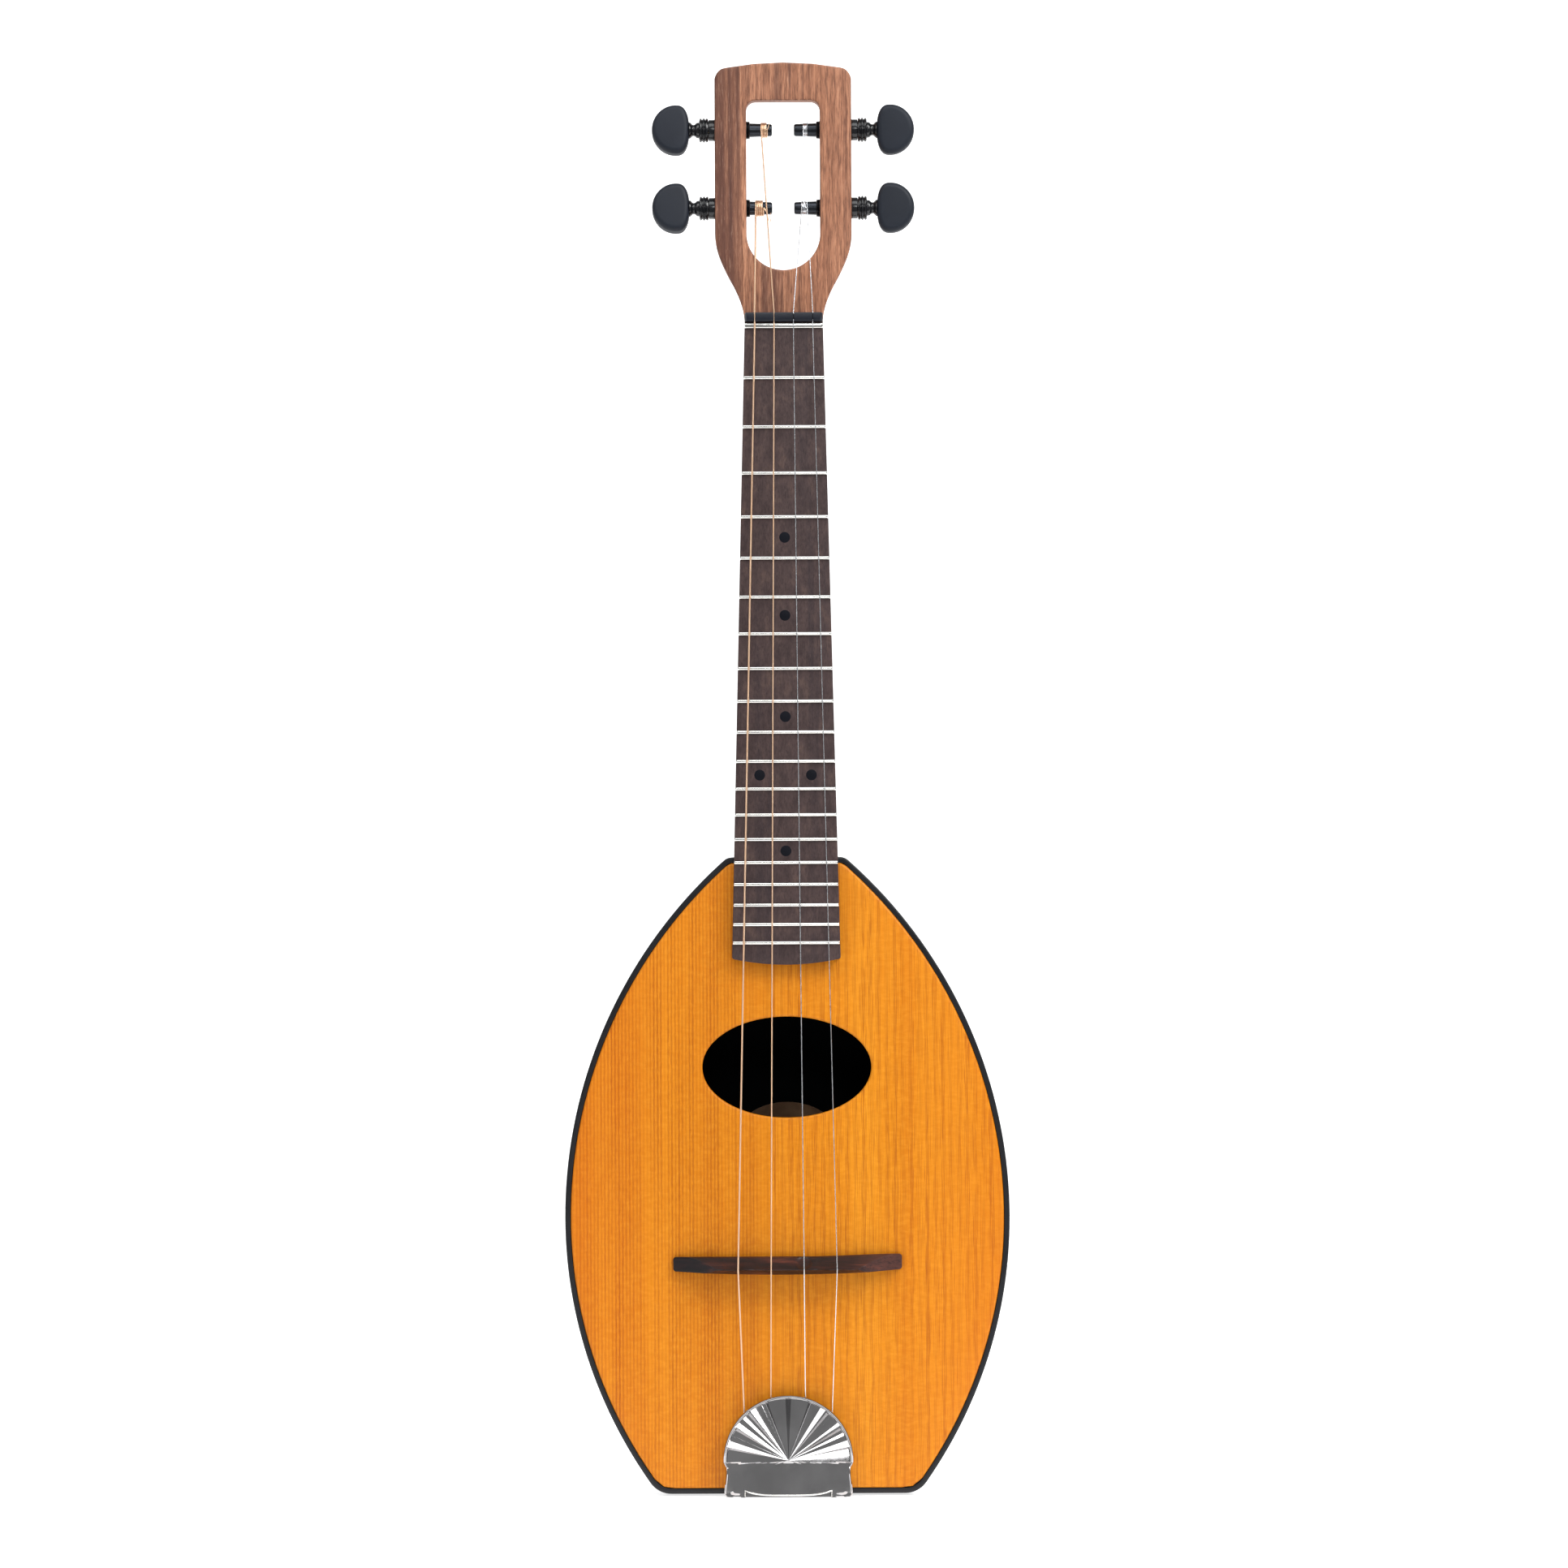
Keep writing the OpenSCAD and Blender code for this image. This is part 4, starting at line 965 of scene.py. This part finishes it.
def tail_cover():
    """Stamped fan cover: pleats, rolled rim, domed panel, cut-out and two hinge knuckles."""
    angles = cover_angles()
    reach = seen_from((0, FAN_Z), cover_outline(), angles)
    steps = [0.02, 0.08, 0.16, 0.25, 0.34, 0.43, 0.52, 0.6, 0.67, 0.73, 0.78, 0.82, 0.85, 0.87, 0.89, 0.91,
             0.93, 0.942, 0.95, 0.957, 0.964, 0.971, 0.977, 0.983, 0.989, 0.995, 1]
    thin = 1 - COVER_SHEET / FAN_R
    lift, low_lift, rim_drop = 0.3, 6.2, 0.55

    def scaled(ring, share, back):
        return [(x * share, y + back, FAN_Z + (z - FAN_Z) * share) for x, y, z in ring]

    outer = []
    for s in steps:
        ring = []
        for angle, far in zip(angles, reach):
            x, z = polar(0, FAN_Z, s * far, angle)
            drop = rim_drop if s == 1 else 0
            ring.append((x, TOP_Y - cover_height(x, z, s * far, angle, far) + drop, z))
        outer.append(ring)
    skirt = [(x, TOP_Y - (lift if z > HINGE.z + 2.5 else low_lift), z) for x, y, z in outer[-1]]
    inner = [scaled(ring, thin if s > 0.96 else 1, COVER_SHEET) for ring, s in zip(outer[::-1], steps[::-1])]
    piece = make("fan_cover", loft(outer + [skirt, scaled(skirt, thin, 0)] + inner), CHROME,
                 body="tailpiece_lid", sharp=18, replaces=["tailpiece_cover"])
    sag = [(-20 + 40 * k / 16, 1.9 - 2.1 * (1 - (k / 8 - 1) ** 4)) for k in range(17)]
    notch = [(-20, COVER_LOW.z - 2), (20, COVER_LOW.z - 2)] + sag[::-1]
    cut(piece, slab(notch, TOP_Y - 14, TOP_Y - 7))
    passage = [(-24, FAN_Z + 20), (24, FAN_Z + 20), (24, FAN_Z + 34), (-24, FAN_Z + 34)]
    cut(piece, slab(passage, TOP_Y - 5.2, TOP_Y + 2))
    finish_mesh(piece, 18)
    lip = [(-20.2, COVER_LOW.z + 0.4)] + [(x * 1.01, z + 0.2) for x, z in sag] + [(20.2, COVER_LOW.z + 0.4)]
    lip = tube([(x, TOP_Y - panel_height(x, z, 40) + 0.2, z) for x, z in lip], 0.42, 8)
    make("notch_lip", lip, NICKEL, body="tailpiece_lid")
    arms = []
    for low in (-19, 10):
        arms.append(turned([(low, 1.9), (low + 0.3, 2.2), (low + 8.7, 2.2), (low + 9, 1.9)],
                           Vector((0, HINGE.y, HINGE.z)), 1, 32))
        arms.append(slab([(low + 0.5, HINGE.z - 1), (low + 8.5, HINGE.z - 1), (low + 8.5, HINGE.z + 2),
                          (low + 0.5, HINGE.z + 2)], TOP_Y - 7.4, HINGE.y))
    make("cover_knuckles", joined(arms), CHROME, body="tailpiece_lid")


# ---------- Strings ----------

def tube(path, r, sides=10):
    """Tube along a path of points, kept from twisting. The radius is one value or one for each point."""
    points = [Vector(p) for p in path]
    turns = [2 * math.pi * k / sides for k in range(sides)]
    rings = []
    side = None
    for k, p in enumerate(points):
        ahead = (points[min(k + 1, len(points) - 1)] - points[max(k - 1, 0)]).normalized()
        if side is None:
            side = ahead.cross(Vector((0, 1, 0)) if abs(ahead.y) < 0.9 else Vector((1, 0, 0))).normalized()
        side = (side - ahead * side.dot(ahead)).normalized()
        up = ahead.cross(side)
        radius = r[k] if isinstance(r, list) else r
        rings.append([tuple(p + (side * math.cos(a) + up * math.sin(a)) * radius) for a in turns])
    return loft(rings)


def post_radius(x):
    """Radius of a string post at distance x from the slot's middle."""
    return 2.85 + 0.4 * max(0, min(1, (x - 5.1) / 11.1))


# Loose end of each string past its winding, as listed offsets
TAILS = (
    [(0.7, -0.75, -0.8), (1.2, -1.0, -1.8), (1.9, -0.8, -3.6), (2.2, -0.4, -5.4), (2.9, 0, -6.6),
     (3.3, 0.3, -5.9), (3.0, 0.5, -4.0), (3.4, 0.4, -2.2)],
    [(0.5, -0.9, 1.0), (0.8, -0.9, 2.8), (0.5, -0.6, 4.6), (-0.1, -0.3, 6.2), (-0.7, 0, 7.6),
     (-0.9, 0.2, 8.8), (-0.6, 0.2, 9.6)],
    [(-0.5, -0.9, 0.8), (-0.9, -0.8, 2.2), (-1.2, -0.4, 3.4), (-1.3, 0, 4.2)],
    [(0.2, -0.9, 1.2), (0.1, -0.9, 3.2), (0.2, -0.4, 5.0), (0.3, 0, 6.6), (0.3, 0.2, 7.8)],
)
WIRES = (WOUND, WOUND, PLAIN_WIRE, PLAIN_WIRE)


def string_entry(n):
    """Where string n meets its post, and the signed step from each turn of its winding to the next."""
    low, high = span(f"winding_{n + 1}")
    step = (2 * STRING_R[n] + 0.05) * (-1 if n < 2 else 1)
    return (abs(low.x) + abs(high.x)) / 2 - 2 * step, step


def string_run(n):
    """String from its loop on a hook, over the bridge and the zero fret, to its post."""
    r, peg = STRING_R[n], joint_place(f"post_{n + 1}_turn")
    entry = string_entry(n)[0]
    share = n / 3 - 0.5
    xn, xb = share * NUT_SPREAD, share * BRIDGE_SPREAD
    hook = Vector((HOOK_X[n], TOP_Y - 2.6, 31.0))
    bridge_y, fret_y = TOP_Y - 12 - r, BOARD_LOW.y - 1.0 - r
    grip, eye_r = post_radius(entry) + r, 1.05 + r
    path = [(hook.x, hook.y, hook.z + 1.4), (hook.x, hook.y, hook.z + 2.6),
            (xb, bridge_y, BRIDGE_Z - 2.9), (xb, bridge_y, BRIDGE_Z - 2.2),
            (xn, fret_y, ZERO_Z - 0.5), (xn, fret_y, ZERO_Z + 0.3), (xn, fret_y + 0.1, NUT_HIGH.z),
            (SIDES[n] * entry, peg.y - grip, peg.z - 0.1)]
    turns = [2 * math.pi * k / 24 for k in range(25)]
    loop = [(hook.x + eye_r * math.sin(a), hook.y, hook.z - eye_r * math.cos(a)) for a in turns]
    wraps = []
    for k in range(60):
        t = k / 59
        a = 2 * math.pi * 5 * t
        wraps.append((hook.x + 2.0 * r * math.cos(a), hook.y - 2.0 * r * math.sin(a),
                      hook.z + 1.5 + 6 * r * t))
    shape = joined([tube(path, r), tube(loop, r * 0.8, 8), tube(wraps, r * 0.6, 6)])
    make(f"string_run_{n + 1}", shape, WIRES[n], replaces=[f"string_{n + 1}"])


def string_coil(n):
    """Winding on the post, with its loose end."""
    r, side, peg = STRING_R[n], SIDES[n], joint_place(f"post_{n + 1}_turn")
    entry, step = string_entry(n)
    turns, parts, thin = 4, 32, min(r, 0.16)
    coil = []
    for k in range(turns * parts + 1):
        a = 2 * math.pi * k / parts
        x = entry + step * k / parts
        rad = post_radius(x) + r
        coil.append((side * x, peg.y - rad * math.cos(a), peg.z + rad * math.sin(a)))
    ends = [(side * x, peg.y - rad, peg.z)]
    ends += [(side * x + dx, peg.y - rad + 0.4 + dy * 0.5, peg.z + dz) for dx, dy, dz in TAILS[n]]
    ends = rounded(ends, 4)
    radii = [r + (thin - r) * min(1, k / 6) for k in range(len(ends))]
    shape = joined([tube(coil, r), tube(ends, radii, 8)])
    make(f"string_coil_{n + 1}", shape, WIRES[n], body=f"post_{n + 1}",
         replaces=[f"winding_{n + 1}"])


def rounded(points, parts):
    """Smooth curve through the points."""
    points = [Vector(p) for p in points]
    out = []
    for k in range(len(points) - 1):
        a, b = points[k], points[k + 1]
        before = points[k - 1] if k else a
        after = points[k + 2] if k + 2 < len(points) else b
        for j in range(parts):
            t = j / parts
            out.append(0.5 * ((2 * a) + (b - before) * t + (2 * before - 5 * a + 4 * b - after) * t * t
                              + (3 * a - before - 3 * b + after) * t ** 3))
    return out + [points[-1]]


# ---------- Pegs ----------

def ease(points, r):
    """Lathe profile with its corners rounded."""
    out = [points[0]]
    for a, b, c in zip(points, points[1:], points[2:]):
        a, b, c = Vector(a), Vector(b), Vector(c)
        start = b + (a - b).normalized() * min(r, (a - b).length / 2.2)
        end = b + (c - b).normalized() * min(r, (c - b).length / 2.2)
        out += [tuple(bend(start, b, end, k / 3)) for k in range(4)]
    return out + [points[-1]]


def button_head(n):
    """Kidney-shaped head: flat inner side, round outer side and soft edges."""
    place = joint_place(f"button_{n}_turn")
    inner, outer, half, corner = 43.8, 61.3, 11.7, 6.4
    outline = []
    for k in range(72):
        a = 2 * math.pi * k / 72
        c, s = math.cos(a), math.sin(a)
        if c >= 0:
            outline.append((inner + corner + (outer - inner - corner) * c, half * s))
        else:
            outline.append((inner + corner * (1 - abs(c) ** 0.72), math.copysign(half * abs(s) ** 0.86, s)))
    verts, faces = slab(outline, -4.3, 4.3, 2.6, 2.6, 6)
    tilt = math.radians(HEAD_TILT[n - 1])
    c, s = math.cos(tilt), math.sin(tilt)
    verts = [(SIDES[n - 1] * x, place.y + y * c - z * s, place.z + y * s + z * c) for x, y, z in verts]
    return verts, faces


# Ringed foot and waisted stem of a peg button, as (distance from the slot's middle, radius)
PEG_FOOT = [
    (34.84, 2.2), (34.84, 4.4), (35.0, 4.4), (35.0, 5.35), (35.4, 5.6), (35.8, 5.7), (36.0, 5.35),
    (36.1, 5.05), (36.35, 5.05), (36.5, 5.4), (36.8, 5.72), (37.2, 5.72), (37.5, 5.4), (37.6, 5.05),
    (37.9, 5.05), (38.0, 5.35), (38.3, 5.6), (38.7, 5.6), (39.0, 5.3), (39.2, 4.6), (39.25, 3.75),
    (39.6, 3.7), (40.2, 3.65), (40.7, 3.3), (41.2, 2.8), (41.8, 2.6), (42.3, 2.75), (42.8, 3.3),
    (43.3, 3.75), (43.7, 3.9), (44.0, 3.7), (44.4, 2.8),
]


def peg(n):
    """Geared peg: threaded case end, collar, ringed foot, waisted stem, head and string post."""
    place, side = joint_place(f"button_{n}_turn"), SIDES[n - 1]
    foot = turned(PEG_FOOT, place, side)
    make(f"peg_foot_{n}", foot, PEG_GLOSS, body=f"button_{n}", sharp=40,
         replaces=[f"peg_button_{n}"])
    make(f"peg_head_{n}", button_head(n), PEG_BLACK, body=f"button_{n}", sharp=40)
    collar = ease([(31.7, 2.1), (31.7, 5.0), (34.7, 4.95), (34.8, 4.6), (34.8, 2.1)], 0.3)
    make(f"peg_collar_ring_{n}", turned(collar, place, side), PEG_GLOSS,
         replaces=[f"peg_collar_{n}"])
    thread = [(31.8, 4.15)]
    for k in range(4):
        thread += [(17.0 - k * 0.32, 4.2), (16.9 - k * 0.32, 3.95)]
    thread += [(15.6, 4.05), (15.5, 3.9), (15.5, 3.35), (31.8, 3.35)]
    make(f"peg_case_tube_{n}", turned(thread, place, side, closed=True), PEG_GLOSS,
         replaces=[f"peg_case_{n}"])
    post = [(5.1, 0.001), (5.1, 2.35), (5.5, 2.8), (6.3, 2.9), (16.4, 3.26), (22, 3.26), (22, 0.001)]
    post = ease(post, 0.35)
    make(f"string_post_{n}", turned(post, place, side), POST_BLACK, body=f"post_{n}")


# ---------- Materials for the CAD parts that stay ----------

def dress_frame():
    """Gives each CAD node that stays in view its own finish."""
    finishes = {
        "soundboard_braces": INNER_WOOD, "neck_block": INNER_WOOD, "tail_block": INNER_WOOD,
        "neck_bolts": STEEL, "tailpiece_screws": STEEL, "tailpiece_pin": STEEL,
        "tailpiece_base": NICKEL,
    }
    for n in range(1, 5):
        finishes[f"peg_post_{n}"] = POST_BLACK
        for part in [f"peg_sun_{n}"] + [f"planet_{n}{letter}" for letter in "abc"]:
            finishes[part] = GEAR_BRASS
    for node, material in finishes.items():
        data = frame["nodes"][node].data
        data.materials.clear()
        data.materials.append(material)


camera()
floor()
lights()
body_shell()
soundboard()
neck()
fretboard()
frets_and_nut()
label()
bridge_piece()
tail_cover()
for n in range(4):
    string_run(n)
    string_coil(n)
for n in range(1, 5):
    peg(n)
dress_frame()
